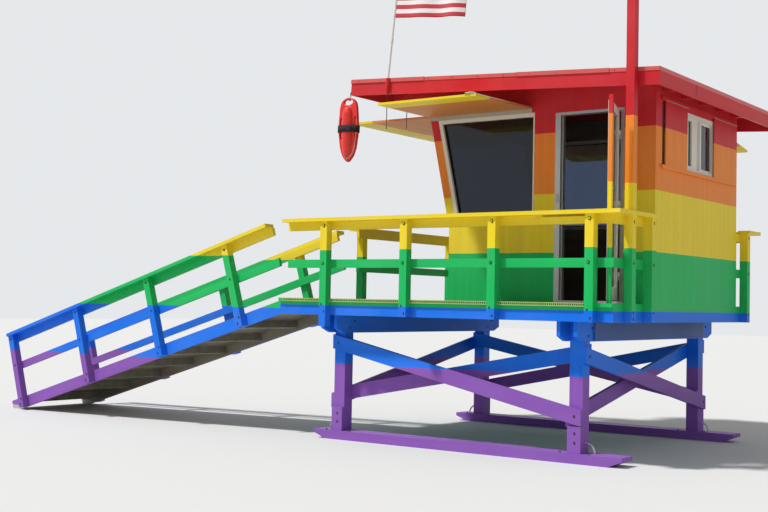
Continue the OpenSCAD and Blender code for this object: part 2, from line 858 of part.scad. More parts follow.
module window_glass() {
    inset = frame_d/2;
    color(glass) side_cut(inner_win(near_win()), hut_y0 + inset, hut_y0 + inset + glass_t);
    color(glass) side_cut(inner_win(far_win()), hut_y1 - inset - glass_t, hut_y1 - inset);
    color(glass) side_cut(lean_strip(sill_z + frame_w, win_z - frame_w, inset, inset + glass_t),
        hut_y0 + front_win_side + frame_w, hut_y1 - front_win_side - frame_w);
    y = hut_y0 + back_win_y;
    z = floor_z + back_sill_h;
    half = (back_win_w - 3*frame_w)/2;
    for (i = [0, 1]) color(glass) box(back_x - inset, back_x - inset + glass_t,
        y + frame_w + i*(half + frame_w), y + frame_w + i*(half + frame_w) + half,
        z + frame_w, z + back_win_h - frame_w);
}

module back_sliding_panels() {
    x = back_x + panel_off;
    color(orange) box(x, x + panel_t, panels_y0, panels_y0 + panel_near, panel_z0, panel_z1);
    color(orange) box(x, x + panel_t, panels_y1 - panel_far, panels_y1, panel_z0, panel_z1);
}

module panel_tracks() {
    x1 = back_x + panel_off + panel_t + track_lip;
    y0 = panels_y0 - track_over;
    color(orange) difference() {
        union() {
            box(back_x, x1, y0, panels_y1, panel_z0 - track_h, panel_z0 + track_in);
            box(back_x, x1, y0, panels_y1, panel_z1 - track_in, panel_z1 + track_h);
        }
        box(back_x + panel_off, back_x + panel_off + panel_t, panels_y0, panels_y1,
            panel_z0, panel_z1);
    }
}

// One hinge on the frame: a lower barrel with its plate and the pin
module frame_hinge(z) {
    translate([pivot_x, pivot_y, z]) cylinder(d=hinge_d, h=hinge_h);
    translate([pivot_x, pivot_y, z + hinge_h - eps]) cylinder(d=pin_d, h=hinge_h + eps - seat);
    box(pivot_x, pivot_x + plate_w, hut_y0 - plate_t, hut_y0, z, z + hinge_h);
}

// The frame: jambs, sill and head, with a stop behind the leaf
module door_frame() {
    y_stop = hut_y0 + leaf_t + stop_gap;
    color(metal) difference() {
        box(door_x0, door_x1, hut_y0, hut_y0 + wall_t, floor_z, door_top);
        box(door_x0 + latch_jamb_w, door_x1 - jamb_w, hut_y0 - eps, y_stop,
            floor_z + door_sill, head_z);
        box(door_x0 + latch_jamb_w + stop_w, door_x1 - jamb_w - stop_w, hut_y0 - eps,
            hut_y0 + wall_t + eps, floor_z + door_sill, head_z);
    }
    for (z = hinge_zs) color(metal) frame_hinge(z);
}

// Turns its children from the shut door to the open one
module swung() {
    translate([pivot_x, pivot_y, 0]) rotate([0, 0, door_open]) children();
}

// The leaf is drawn shut, with the pivot at the origin
module door_leaf() {
    swung() color(metal) difference() {
        union() {
            box(-leaf_len - leaf_gap, -leaf_gap, leaf_y, leaf_y + leaf_t, leaf_z, leaf_top);
            for (z = hinge_zs) {
                translate([0, 0, z + hinge_h + seat]) cylinder(d=hinge_d, h=hinge_h);
                box(-plate_w, 0, leaf_y - plate_t, leaf_y, z + hinge_h + seat,
                    z + 2*hinge_h + seat);
            }
        }
        box(-leaf_len - leaf_gap + stile_w, -leaf_gap - stile_w, leaf_y - eps,
            leaf_y + leaf_t + eps, leaf_z + 2*stile_w, leaf_top - stile_w);
        for (z = hinge_zs) translate([0, 0, z + hinge_h - eps])
            cylinder(d=pin_d + 2*pin_play, h=hinge_h + 3*eps);
    }
}

module door_glass() {
    swung() color(glass) box(-leaf_len - leaf_gap + stile_w, -leaf_gap - stile_w,
        leaf_y + leaf_t/2 - glass_t/2, leaf_y + leaf_t/2 + glass_t/2,
        leaf_z + 2*stile_w, leaf_top - stile_w);
}

// A shutter is drawn with its hinge line on the X axis, its free edge at -Y and
// the wall's face at y = flap_off
function flap_places(w) = [flap_end, w/2 - flap_run, w - flap_end - 2*flap_run];

module flap_barrel(x, l, d) {
    translate([x, 0, 0]) rotate([0, 90, 0]) cylinder(d=d, h=l);
}

// The moving half: the panel, its barrels and the plates between them
module shutter(w, l, tilt, slant=0) {
    rotate([tilt, 0, 0]) difference() {
        union() {
            linear_extrude(shutter_t)
                polygon([[0, -flap_gap], [slant, -l], [w, -l], [w, -flap_gap]]);
            for (x = flap_places(w)) {
                flap_barrel(x + flap_run + seat, flap_run, flap_barrel_d);
                box(x + flap_run + seat, x + 2*flap_run + seat, -3*flap_gap, 0,
                    -flap_pin_d/2, flap_pin_d/2);
            }
        }
        for (x = flap_places(w))
            flap_barrel(x + flap_run - eps, flap_run + 3*eps, flap_pin_d + 2*pin_play);
    }
}

// The fixed half: a strip on the wall, its barrels and the pins
module hinge_strip(w) {
    box(0, w, flap_off - strip_t, flap_off, -strip_drop, strip_up);
    for (x = flap_places(w)) {
        flap_barrel(x, flap_run, flap_barrel_d);
        flap_barrel(x + flap_run - eps, flap_run + eps, flap_pin_d);
        box(x, x + flap_run, 0, flap_off, -flap_pin_d/2, flap_pin_d/2);
    }
}

// Each side's hinge line
module at_near_hinge() {
    translate([shutter_x1 - shutter_w, hut_y0 - flap_off, shutter_z]) children();
}

module at_front_hinge() {
    translate([front_pivot_x, hut_y1 - front_shutter_in, shutter_z]) rotate([0, 0, -90])
        children();
}

module at_far_hinge() {
    translate([far_shutter_x1, hut_y1 + flap_off, shutter_z]) rotate([0, 0, 180]) children();
}

module near_shutter() {
    color(orange) at_near_hinge() shutter(shutter_w, near_shutter_l, near_tilt, shutter_slant);
}

module front_shutter() {
    color(orange) at_front_hinge() shutter(front_shutter_w, shutter_l, front_tilt);
}

module far_shutter() {
    color(orange) at_far_hinge() shutter(far_shutter_w, shutter_l, far_tilt);
}

module shutter_hinge_strips() {
    color(metal) at_near_hinge() hinge_strip(shutter_w);
    color(metal) at_front_hinge() rotate([front_lean, 0, 0]) hinge_strip(front_shutter_w);
    color(metal) at_far_hinge() hinge_strip(far_shutter_w);
}

// Rods hung under the near eave, to hook the shutters up
module shutter_hooks() {
    for (share = [hook_first, hook_second]) {
        x = roof_x0 + share*(shutter_x1 - shutter_w - roof_x0);
        color(metal) translate([x, roof_y + hook_y, roof_under(x) - hook_l])
            cylinder(d=hook_d, h=hook_l - seat);
    }
}

// The roof is drawn flat, with its back top edge at the origin, then tilted
module on_roof() {
    translate([roof_x, roof_y, roof_z]) rotate([0, roof_a, 0]) children();
}

module rafter_set() {
    y0 = roof_near + wall_t + rafter_in;
    step = (hut_w - 2*wall_t - 2*rafter_in - rafter_t)/(rafters - 1);
    on_roof() for (i = [0:rafters - 1])
        translate([-roof_l + fascia_t, y0 + i*step, -sheet_t - rafter_h])
            cube([roof_l - 2*fascia_t, rafter_t, rafter_h]);
}

module roof_rafters() {
    color(red) rafter_set();
}

module roof_sheet() {
    color(red) on_roof() translate([-roof_l + fascia_t, fascia_t, -sheet_t])
        cube([roof_l - 2*fascia_t, roof_w - 2*fascia_t, sheet_t]);
}

module side_fascias() {
    for (y = [0, roof_w - fascia_t]) color(red) on_roof() translate([-roof_l, y, -fascia_h])
        cube([roof_l, fascia_t, fascia_h]);
}

module end_fascias() {
    for (x = [-roof_l, -fascia_t]) color(red) on_roof() translate([x, fascia_t, -fascia_h])
        cube([fascia_t, roof_w - 2*fascia_t, fascia_h]);
}

module mast() {
    y = near_y + mast_y;
    color(red) box(back_x, back_x + mast_w, y - mast_w/2, y + mast_w/2, deck_z, mast_top);
}

module slim_post() {
    x = back_x - slim_back;
    color(red) box(x - slim_x/2, x + slim_x/2, near_y + board_t, near_y + board_t + slim_y,
        floor_z, slim_top);
}

// Puts its children on the flagpole's foot, at the near fascia's outer face
module on_pole() {
    x = roof_x0 + pole_x;
    translate([x, roof_y - pole_d/2 - socket_t, roof_top(x) - socket_l])
        rotate([0, pole_lean, 0]) children();
}

module flagpole() {
    color(white) on_pole() cylinder(d=pole_d, h=pole_l);
}

// A socket with a floor, a back plate against the fascia and a bore for the pole
module flagpole_bracket() {
    color(red) on_pole() difference() {
        union() {
            translate([0, 0, -socket_t]) cylinder(d=pole_d + 2*socket_t, h=socket_l + socket_t);
            translate([-pole_d/2, 0, 0]) cube([pole_d, pole_d/2 + socket_t, socket_l - socket_t]);
        }
        cylinder(d=pole_d, h=socket_l + eps);
    }
}

// The cloth flies towards the hut's back, its hoist along the pole, in shallow waves
function flag_wave(s) = flag_wave_a*sin(360*flag_waves*s)*s;

module flag() {
    n = 12*flag_waves;
    edge = [for (i = [0:n]) [flag_l*i/n, flag_wave(i/n)]];
    back = [for (i = [n:-1:0]) [flag_l*i/n, flag_wave(i/n) + flag_t]];
    color(white) on_pole() translate([pole_d/2, -flag_t/2, pole_l - flag_top - flag_h])
        linear_extrude(flag_h) polygon(concat(edge, back));
}

// A torpedo float, nose down, that hangs by its top handle ahead of the roof's corner
float_x = roof_x0 - float_out;
float_y = roof_y + float_in;
float_z = roof_top(roof_x0) - fascia_h - float_drop;

// The float's handles, seen from the front: a wide loop round the body, open beside it
module float_handles() {
    r = float_d/2;
    inner = r + grip_gap;
    outer = inner + grip_d;
    low = -float_l + float_nose;
    difference() {
        union() {
            polygon([[0, low - outer], [outer, low], [outer, -outer], [0, 0],
                [-outer, -outer], [-outer, low]]);
            circle(r=float_loop_r + grip_d/2);
        }
        for (side = [-1, 1]) polygon([[side*r/2, low], [side*inner, low + grip_gap],
            [side*inner, -outer - grip_gap], [side*r/2, -outer]]);
        circle(r=float_loop_r - grip_d/2);
    }
}

module rescue_float() {
    r = float_d/2;
    color(red) translate([float_x, float_y, float_z - float_loop_r - grip_d/2]) {
        translate([0, 0, -float_l]) rotate_extrude() polygon([
            [0, 0], [0.30*r, 0.02*float_l], [0.58*r, 0.09*float_l], [0.84*r, 0.22*float_l],
            [r, 0.38*float_l], [r, 0.72*float_l], [0.94*r, 0.86*float_l], [0.80*r, 0.97*float_l],
            [0.66*r, float_l], [0, float_l]]);
        translate([0, grip_d/2, 0]) rotate([90, 0, 0]) linear_extrude(grip_d) float_handles();
    }
}

// A rod from the front fascia, bent down, under the float's handle and up again
module float_hook() {
    z0 = float_z + float_drop + fascia_h/4;
    z1 = float_z - grip_d - float_hook_d/2;
    x0 = roof_x0 - (roof_top(roof_x0) - z0)*tan(roof_a);
    y0 = float_y + grip_d;
    y1 = float_y - grip_d;
    path = [[x0, y0, z0], [float_x, y0, z0], [float_x, y0, z1], [float_x, y1, z1],
        [float_x, y1, z1 + grip_d/2]];
    color(metal) for (i = [0:3]) {
        rod(path[i], path[i + 1], float_hook_d);
        if (i < 3) translate(path[i + 1]) sphere(d=float_hook_d);
    }
}

skids();
legs();
foot_plates();
tow_hoops();
outer_braces();
inner_braces();
cap_beams();
beam_cover_board();
deck_side_rims();
deck_end_rims();
deck_joists();
deck_planks();
rail_posts();
side_rail_boards();
end_rail_boards();
side_rail_caps();
end_rail_caps();
ramp_stringers();
ramp_floor();
ramp_bearers();
ramp_rail_posts();
ramp_rail_boards();
ramp_rail_caps();
near_wall_front();
near_wall_over_door();
near_wall_back();
far_wall();
front_wall();
back_wall();
window_frames();
window_glass();
back_sliding_panels();
panel_tracks();
door_frame();
door_leaf();
door_glass();
near_shutter();
front_shutter();
far_shutter();
shutter_hinge_strips();
shutter_hooks();
roof_rafters();
roof_sheet();
side_fascias();
end_fascias();
mast();
slim_post();
flagpole();
flagpole_bracket();
flag();
rescue_float();
float_hook();
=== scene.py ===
"""Looks of the beach lifeguard tower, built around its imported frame."""
import math

import bmesh
import bpy
from mathutils import Matrix, Vector


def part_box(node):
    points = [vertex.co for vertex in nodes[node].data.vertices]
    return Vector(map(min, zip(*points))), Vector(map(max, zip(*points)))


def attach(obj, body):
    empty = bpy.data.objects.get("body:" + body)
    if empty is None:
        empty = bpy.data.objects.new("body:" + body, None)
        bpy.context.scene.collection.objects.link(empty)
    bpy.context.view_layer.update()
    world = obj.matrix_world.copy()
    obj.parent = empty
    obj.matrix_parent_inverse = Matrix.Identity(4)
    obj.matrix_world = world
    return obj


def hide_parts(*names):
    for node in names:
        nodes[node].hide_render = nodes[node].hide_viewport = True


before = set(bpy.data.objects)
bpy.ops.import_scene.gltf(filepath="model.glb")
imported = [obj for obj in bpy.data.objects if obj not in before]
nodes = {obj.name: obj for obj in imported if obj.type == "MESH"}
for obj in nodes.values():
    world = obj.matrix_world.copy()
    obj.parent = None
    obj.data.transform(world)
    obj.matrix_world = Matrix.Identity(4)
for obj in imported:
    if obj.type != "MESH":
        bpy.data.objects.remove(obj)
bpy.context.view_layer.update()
scene = bpy.context.scene

# Camera
CAMERA_PLACE = Vector((6.730, -10.538, 1.484))
CAMERA_TURN = math.radians(35.95)
CAMERA_RISE = math.radians(2.23)
CAMERA_ROLL = math.radians(1.13)
FOCAL_SHARE = 1213.6/768
SENSOR = 36

# Paint colours as eyes see them, and the heights where each band starts
PURPLE = (142, 88, 182)
BLUE = (0, 116, 238)
GREEN = (14, 190, 96)
YELLOW = (246, 218, 32)
ORANGE = (246, 138, 34)
RED = (208, 34, 44)
BANDS = ((0.0, PURPLE), (0.82, BLUE), (1.434, GREEN), (2.036, YELLOW), (2.646, ORANGE),
         (3.262, RED))
BAND_TOP = 6.0
RAMP_DROP = 0.045
SHUTTER_BAND = 0.27
SHUTTER_RED = 0.78
BARE_RAMP_TINT = (168, 160, 140)

# Radii of the fittings
BOLT = 0.010
LEG_BOLT = 0.0075
EDGE_BOLT = 0.0065
# The next radius is the dark ring round each bolt: painted shade for the shadow in its counterbore
SHADE_RING = 0.018
SCREW = 0.005

# The ramp: its slope, its middle, the reach from there just into its side boards, and the height
# of the deck's underside where it starts
RAMP_SLOPE = math.radians(16.8)
RAMP_MIDDLE = 0.273
RAMP_HALF = 0.570
DECK_UNDERSIDE = 1.347

# The deck: its front edge, the outer faces of its side boards and side posts, those posts' places
# along it, and half the gap that the plank ends leave for a post
FRONT_EDGE = -2.0815
NEAR_RIM = -0.328
FAR_RIM = 3.224
NEAR_POSTS = -0.416
FAR_POSTS = 3.312
POSTS = [FRONT_EDGE + 0.665 + 1.043*i for i in range(4)]
POST_GAP = 0.048

# The legs' middles along and across the tower, and the braces' outer faces from there
LEG_X = 1.4265
FAR_LEG = 2.901
BRACE_FACE = 0.108

# The hut's front wall: its foot, its knee and its lean above that
HUT_FRONT = -0.4715
KNEE_HEIGHT = 2.310
LEAN_ANGLE = math.radians(12.4)
FRONT_LEAN = math.tan(LEAN_ANGLE)

# The hut's other outer faces, and places about 3 mm into its walls from the room
NEAR_WALL = 0.594
FAR_WALL = 2.850
BACK_WALL = 1.9185
ROOM_FRONT = HUT_FRONT + 0.087
ROOM_BACK = 1.832
ROOM_NEAR = 0.681
ROOM_FAR = 2.763

# The windows' sills and heads, and the width of their frames
SIDE_SILL = 2.422
SIDE_HEAD = 3.507
BACK_SILL = 2.900
BACK_HEAD = 3.515
FRAME = 0.042

# The roof's top at its near back corner, its front edge, its size and its fall to the back
ROOF_CORNER = (2.2185, -0.017, 3.730)
ROOF_FRONT = -1.3839
ROOF_LENGTH = 3.608
ROOF_WIDTH = 3.477
ROOF_FALL = math.radians(3.18)

# The door's pin and how far it stands open
DOOR_PIN = (1.5465, 0.584, 0)
DOOR_OPEN = math.radians(109)

# The flag: its stripes, its size, the depth of its waves and its foot's height on the pole
STRIPES = 13
FLAG_LENGTH = 0.880
FLAG_HEIGHT = 0.6
FLAG_WAVE = 0.033
FLAG_FOOT = 0.800


def camera():
    """The camera at the photograph's place, turn and tilt."""
    forward = Vector((-math.sin(CAMERA_TURN)*math.cos(CAMERA_RISE),
                      math.cos(CAMERA_TURN)*math.cos(CAMERA_RISE), math.sin(CAMERA_RISE)))
    level = Vector((math.cos(CAMERA_TURN), math.sin(CAMERA_TURN), 0))
    over = level.cross(forward)
    right = math.cos(CAMERA_ROLL)*level + math.sin(CAMERA_ROLL)*over
    up = math.cos(CAMERA_ROLL)*over - math.sin(CAMERA_ROLL)*level
    data = bpy.data.cameras.new("camera")
    data.sensor_width = SENSOR
    data.lens = SENSOR*FOCAL_SHARE
    data.clip_end = 200
    eye = bpy.data.objects.new("camera", data)
    turn = Matrix((right, up, -forward)).transposed().to_4x4()
    eye.matrix_world = Matrix.Translation(CAMERA_PLACE) @ turn
    scene.collection.objects.link(eye)
    scene.camera = eye


# Shader helpers

def rgb(colour):
    """An eye colour from 0 to 255 as the renderer's linear colour."""
    parts = [c/255 for c in colour]
    return tuple(c/12.92 if c < 0.04 else ((c + 0.055)/1.055)**2.4 for c in parts) + (1,)


def feed(tree, socket, value):
    """Links a socket to another or sets its value."""
    if isinstance(value, bpy.types.NodeSocket):
        tree.links.new(value, socket)
    else:
        socket.default_value = value


def put(tree, kind, inputs=None, **settings):
    """A shader node with its settings and inputs."""
    node = tree.nodes.new("ShaderNode" + kind)
    for name, value in settings.items():
        setattr(node, name, value)
    for name, value in (inputs or {}).items():
        feed(tree, node.inputs[name], value)
    return node


def mix(tree, share, a, b, blend_type="MIX"):
    """Mixes two colours."""
    node = put(tree, "Mix", data_type="RGBA", blend_type=blend_type, clamp_factor=True)
    for index, value in ((0, share), (6, a), (7, b)):
        feed(tree, node.inputs[index], value)
    return node.outputs[2]


def sums(tree, operation, a, b=0.0, clamp=False):
    """One operation on two numbers."""
    node = put(tree, "Math", {0: a, 1: b}, operation=operation, use_clamp=clamp)
    return node.outputs[0]


def times(tree, a, b, clamp=False):
    """The product of two numbers."""
    return sums(tree, "MULTIPLY", a, b, clamp)


def axes(tree, place):
    """The X, Y and Z of a place."""
    return put(tree, "SeparateXYZ", {0: place}).outputs


def spread(tree, value, low, high):
    """Spreads the stretch from low to high over 0 to 1."""
    node = put(tree, "MapRange", {"Value": value, "From Min": low, "From Max": high}, clamp=True)
    return node.outputs[0]


def noise(tree, place, scale, detail=2.0, roughness=0.5):
    """Cloudy noise from 0 to 1."""
    return put(tree, "TexNoise", {"Vector": place, "Scale": scale, "Detail": detail,
                                  "Roughness": roughness}).outputs["Fac"]


def scaled(tree, place, sizes, turn=(0, 0, 0)):
    """A place turned and stretched."""
    turned = put(tree, "Mapping", {"Vector": place, "Rotation": turn}).outputs[0]
    return put(tree, "Mapping", {"Vector": turned, "Scale": sizes}).outputs[0]


def new_group(name, given, made):
    """An empty node group with named inputs and outputs."""
    tree = bpy.data.node_groups.new(name, "ShaderNodeTree")
    kinds = {"c": "NodeSocketColor", "f": "NodeSocketFloat", "v": "NodeSocketVector"}
    for label, kind in given:
        tree.interface.new_socket(label, in_out="INPUT", socket_type=kinds[kind])
    for label, kind in made:
        tree.interface.new_socket(label, in_out="OUTPUT", socket_type=kinds[kind])
    return tree, tree.nodes.new("NodeGroupInput").outputs, tree.nodes.new("NodeGroupOutput").inputs


def use(tree, group, inputs):
    """Places a node group and gives its outputs."""
    node = tree.nodes.new("ShaderNodeGroup")
    node.node_tree = group
    for name, value in inputs.items():
        feed(tree, node.inputs[name], value)
    return node.outputs


def band_paint():
    """The paint bands by height, their edges cut in by hand."""
    tree, given, made = new_group("band_paint", [("Place", "v"), ("Drop", "f")], [("Color", "c")])
    height = axes(tree, given["Place"])["Z"]
    height = sums(tree, "ADD", height, given["Drop"])
    wobble = times(tree, sums(tree, "SUBTRACT", noise(tree, given["Place"], 9.0), 0.5), 0.008)
    ramp = put(tree, "ValToRGB", {"Fac": sums(tree, "DIVIDE", sums(tree, "ADD", height, wobble),
                                              BAND_TOP)})
    stops = ramp.color_ramp
    stops.interpolation = "CONSTANT"
    while len(stops.elements) < len(BANDS):
        stops.elements.new(1)
    for stop, (start, colour) in zip(stops.elements, BANDS):
        stop.position = start/BAND_TOP
        stop.color = rgb(colour)
    feed(tree, made["Color"], ramp.outputs["Color"])
    return tree


def wood_grain():
    """Long fine grain and brush marks; along the board is the place's X."""
    tree, given, made = new_group("wood_grain", [("Place", "v")], [("Height", "f"), ("Streaks", "f")])
    fine = noise(tree, scaled(tree, given["Place"], (2.0, 60, 60)), 2.0, 5.0, 0.6)
    broad = noise(tree, scaled(tree, given["Place"], (0.7, 14, 14)), 1.0, 3.0)
    feed(tree, made["Height"], sums(tree, "ADD", fine, times(tree, broad, 0.5)))
    feed(tree, made["Streaks"], spread(tree, broad, 0.35, 0.7))
    return tree


def weather():
    """Sun fade in clouds, dust, and worn edges that show the wood."""
    tree, given, made = new_group(
        "weather", [("Color", "c"), ("Place", "v"), ("Fade", "f"), ("Dust", "f"), ("Wear", "f")],
        [("Color", "c"), ("Roughness", "f"), ("Worn", "f")])
    cloud = spread(tree, noise(tree, given["Place"], 1.7, 4.0), 0.35, 0.75)
    pale = put(tree, "HueSaturation", {"Saturation": 0.88, "Value": 1.08, "Color": given["Color"]})
    colour = mix(tree, times(tree, cloud, given["Fade"]), given["Color"], pale.outputs[0])
    specks = spread(tree, noise(tree, given["Place"], 23.0, 6.0, 0.7), 0.56, 0.78)
    colour = mix(tree, times(tree, specks, given["Dust"]), colour, rgb((120, 108, 90)))
    rounded = put(tree, "Bevel", {"Radius": 0.006}, samples=4).outputs[0]
    flat = put(tree, "NewGeometry").outputs["Normal"]
    along = put(tree, "VectorMath", {0: rounded, 1: flat}, operation="DOT_PRODUCT").outputs["Value"]
    edge = spread(tree, sums(tree, "SUBTRACT", 1.0, along), 0.02, 0.12)
    chips = spread(tree, noise(tree, given["Place"], 31.0, 3.0, 0.6), 0.52, 0.60)
    worn = times(tree, times(tree, edge, chips), given["Wear"], clamp=True)
    feed(tree, made["Color"], mix(tree, worn, colour, rgb((150, 132, 108))))
    feed(tree, made["Roughness"], sums(tree, "ADD", times(tree, cloud, 0.15), 0.45))
    feed(tree, made["Worn"], worn)
    return tree


def hut_inside():
    """1 on the hut's inner faces, 0 on its outside."""
    tree, given, made = new_group("hut_inside", [("Place", "v")], [("Inside", "f")])
    at = axes(tree, given["Place"])
    above_knee = sums(tree, "MAXIMUM", sums(tree, "SUBTRACT", at["Z"], KNEE_HEIGHT), 0.0)
    front = sums(tree, "ADD", times(tree, above_knee, FRONT_LEAN), at["X"])
    inside = sums(tree, "GREATER_THAN", front, ROOM_FRONT)
    for test in (sums(tree, "LESS_THAN", at["X"], ROOM_BACK),
                 sums(tree, "GREATER_THAN", at["Y"], ROOM_NEAR),
                 sums(tree, "LESS_THAN", at["Y"], ROOM_FAR)):
        inside = times(tree, inside, test)
    feed(tree, made["Inside"], inside)
    return tree


def steel_scuffs():
    """Blotchy zinc or dull metal with fine scratches and a little rust."""
    tree, given, made = new_group("steel_scuffs", [("Color", "c"), ("Place", "v"), ("Rust", "f")],
                                  [("Color", "c"), ("Roughness", "f"), ("Height", "f")])
    blotch = noise(tree, given["Place"], 40.0, 4.0)
    scratch = noise(tree, scaled(tree, given["Place"], (30, 30, 4)), 6.0, 3.0)
    colour = mix(tree, blotch, given["Color"], (0.55, 0.55, 0.55, 1), "SOFT_LIGHT")
    rust = spread(tree, noise(tree, given["Place"], 17.0, 5.0, 0.7), 0.55, 0.7)
    feed(tree, made["Color"], mix(tree, times(tree, rust, given["Rust"]), colour,
                                  rgb((122, 74, 44))))
    feed(tree, made["Roughness"], sums(tree, "ADD", times(tree, blotch, 0.25), 0.28))
    feed(tree, made["Height"], scratch)
    return tree


BAND_PAINT = band_paint()
WOOD_GRAIN = wood_grain()
WEATHER = weather()
HUT_INSIDE = hut_inside()
STEEL_SCUFFS = steel_scuffs()


def new_material(name):
    """A material with its tree, its shader and the object's own coordinates."""
    material = bpy.data.materials.new(name)
    material.use_nodes = True
    tree = material.node_tree
    shader = tree.nodes["Principled BSDF"]
    coordinates = put(tree, "TexCoord").outputs
    return material, tree, shader, coordinates


def bump(tree, shader, height, strength, distance=0.001):
    """Height on the shader's normal."""
    node = put(tree, "Bump", {"Height": height, "Strength": strength, "Distance": distance})
    feed(tree, shader.inputs["Normal"], node.outputs[0])


def paint(name, turn=(0, 0, 0), cross=False, fade=0.35, dust=0.14, wear=0.5, colour=None,
          relief=0.35, drop=0.0):
    """Banded house paint over wood. turn brings the board's length to X, and drop lowers the bands."""
    material, tree, shader, at = new_material(name)
    place = at["Object"]
    if cross:
        swap = put(tree, "Mapping", {"Vector": place, "Rotation": (0, 0, math.pi/2)}).outputs[0]
        side = axes(tree, at["Normal"])["X"]
        side = sums(tree, "GREATER_THAN", sums(tree, "ABSOLUTE", side), 0.7)
        place = mix(tree, side, place, swap)
    grain = use(tree, WOOD_GRAIN, {"Place": scaled(tree, place, (1, 1, 1), turn)})
    if colour:
        base = colour(tree, at)
    else:
        base = use(tree, BAND_PAINT, {"Place": at["Object"], "Drop": drop})["Color"]
    base = mix(tree, times(tree, grain["Streaks"], 0.10), base, (0.02, 0.02, 0.02, 1))
    done = use(tree, WEATHER, {"Color": base, "Place": at["Object"], "Fade": fade, "Dust": dust,
                               "Wear": wear})
    feed(tree, shader.inputs["Base Color"], done["Color"])
    feed(tree, shader.inputs["Roughness"], done["Roughness"])
    shader.inputs["Specular IOR Level"].default_value = 0.22
    bump(tree, shader, sums(tree, "SUBTRACT", grain["Height"], done["Worn"]), relief, 0.0012)
    return material


UPRIGHT = (0, math.pi/2, 0)
CROSSWISE = (0, 0, -math.pi/2)


def bare_wood(tree, at, tint=(142, 134, 118)):
    """Grey-brown weathered wood."""
    cloud = noise(tree, scaled(tree, at["Object"], (0.6, 5, 5)), 2.0, 4.0)
    return mix(tree, cloud, rgb(tint), rgb([c*0.68 for c in tint]))


def deck_colour(tree, at):
    """Painted plank edges under a bare, walked-on top."""
    painted = use(tree, BAND_PAINT, {"Place": at["Object"]})["Color"]
    up = axes(tree, at["Normal"])["Z"]
    return mix(tree, sums(tree, "GREATER_THAN", up, 0.5), painted, bare_wood(tree, at))


def stringer_colour(tree, at):
    """Paint on the ramp's outer faces, bare wood on its inner ones, worn pale at its foot."""
    painted = use(tree, BAND_PAINT, {"Place": at["Object"], "Drop": RAMP_DROP})["Color"]
    y = axes(tree, at["Object"])["Y"]
    facing = axes(tree, at["Normal"])["Y"]
    from_middle = sums(tree, "ABSOLUTE", sums(tree, "SUBTRACT", y, RAMP_MIDDLE))
    sideways = sums(tree, "GREATER_THAN", sums(tree, "ABSOLUTE", facing), 0.5)
    inner = times(tree, sums(tree, "LESS_THAN", from_middle, RAMP_HALF), sideways)
    painted = mix(tree, inner, painted, bare_wood(tree, at, BARE_RAMP_TINT))
    height = axes(tree, at["Object"])["Z"]
    ragged = times(tree, noise(tree, at["Object"], 14.0), 0.03)
    worn = sums(tree, "LESS_THAN", sums(tree, "SUBTRACT", height, ragged), 0.032)
    return mix(tree, worn, painted, rgb((186, 190, 180)))


def wall_colour(tree, at):
    """Painted outside, bare plywood inside, and fine upright joints between the sheets."""
    painted = use(tree, BAND_PAINT, {"Place": at["Object"]})["Color"]
    inside = use(tree, HUT_INSIDE, {"Place": at["Object"]})["Inside"]
    colour = mix(tree, inside, painted, bare_wood(tree, at, (150, 138, 116)))
    place = axes(tree, at["Object"])
    run = sums(tree, "ADD", place["X"], place["Y"])
    joint = sums(tree, "LESS_THAN", sums(tree, "FRACT", sums(tree, "DIVIDE", run, 0.203)), 0.014)
    return mix(tree, times(tree, joint, 0.16), colour, (0.01, 0.01, 0.01, 1))


def shutter_colour(axis, edge, sign):
    """Red, orange and yellow bands on the weather side, orange and yellow on the inside."""
    def colour(tree, at):
        reach = axes(tree, at["Object"])[axis]
        out = times(tree, sums(tree, "SUBTRACT", edge, reach), sign)
        yellow = sums(tree, "LESS_THAN", out, SHUTTER_BAND)
        red = sums(tree, "GREATER_THAN", out, SHUTTER_RED)
        up = axes(tree, at["Normal"])["Z"]
        top = sums(tree, "GREATER_THAN", up, 0.5)
        inner = mix(tree, yellow, rgb((226, 142, 66)), rgb(YELLOW))
        outer = mix(tree, yellow, mix(tree, red, rgb(ORANGE), rgb(RED)), rgb(YELLOW))
        return mix(tree, top, inner, outer)
    return colour


def roof_colour(tree, at):
    """Faded red felt on top, red paint below."""
    up = axes(tree, at["Normal"])["Z"]
    cloud = noise(tree, at["Object"], 1.2, 5.0)
    felt = mix(tree, cloud, rgb((186, 92, 88)), rgb((160, 68, 68)))
    return mix(tree, sums(tree, "GREATER_THAN", up, 0.5), rgb(RED), felt)


def metal(name, tint, rust=0.0, roughness_up=0.0, metallic=0.9):
    """Dull metal."""
    material, tree, shader, at = new_material(name)
    done = use(tree, STEEL_SCUFFS, {"Color": rgb(tint), "Place": at["Object"], "Rust": rust})
    feed(tree, shader.inputs["Base Color"], done["Color"])
    feed(tree, shader.inputs["Roughness"], sums(tree, "ADD", done["Roughness"], roughness_up))
    shader.inputs["Metallic"].default_value = metallic
    bump(tree, shader, done["Height"], 0.15, 0.0003)
    return material


def glass(name, tint):
    """Tinted flat glass with faint dust."""
    material, tree, shader, at = new_material(name)
    dust = spread(tree, noise(tree, at["Object"], 3.0, 6.0, 0.7), 0.45, 0.8)
    feed(tree, shader.inputs["Roughness"], sums(tree, "ADD", times(tree, dust, 0.10), 0.02))
    shader.inputs["Base Color"].default_value = rgb(tint)
    shader.inputs["Transmission Weight"].default_value = 1.0
    shader.inputs["IOR"].default_value = 1.45
    return material


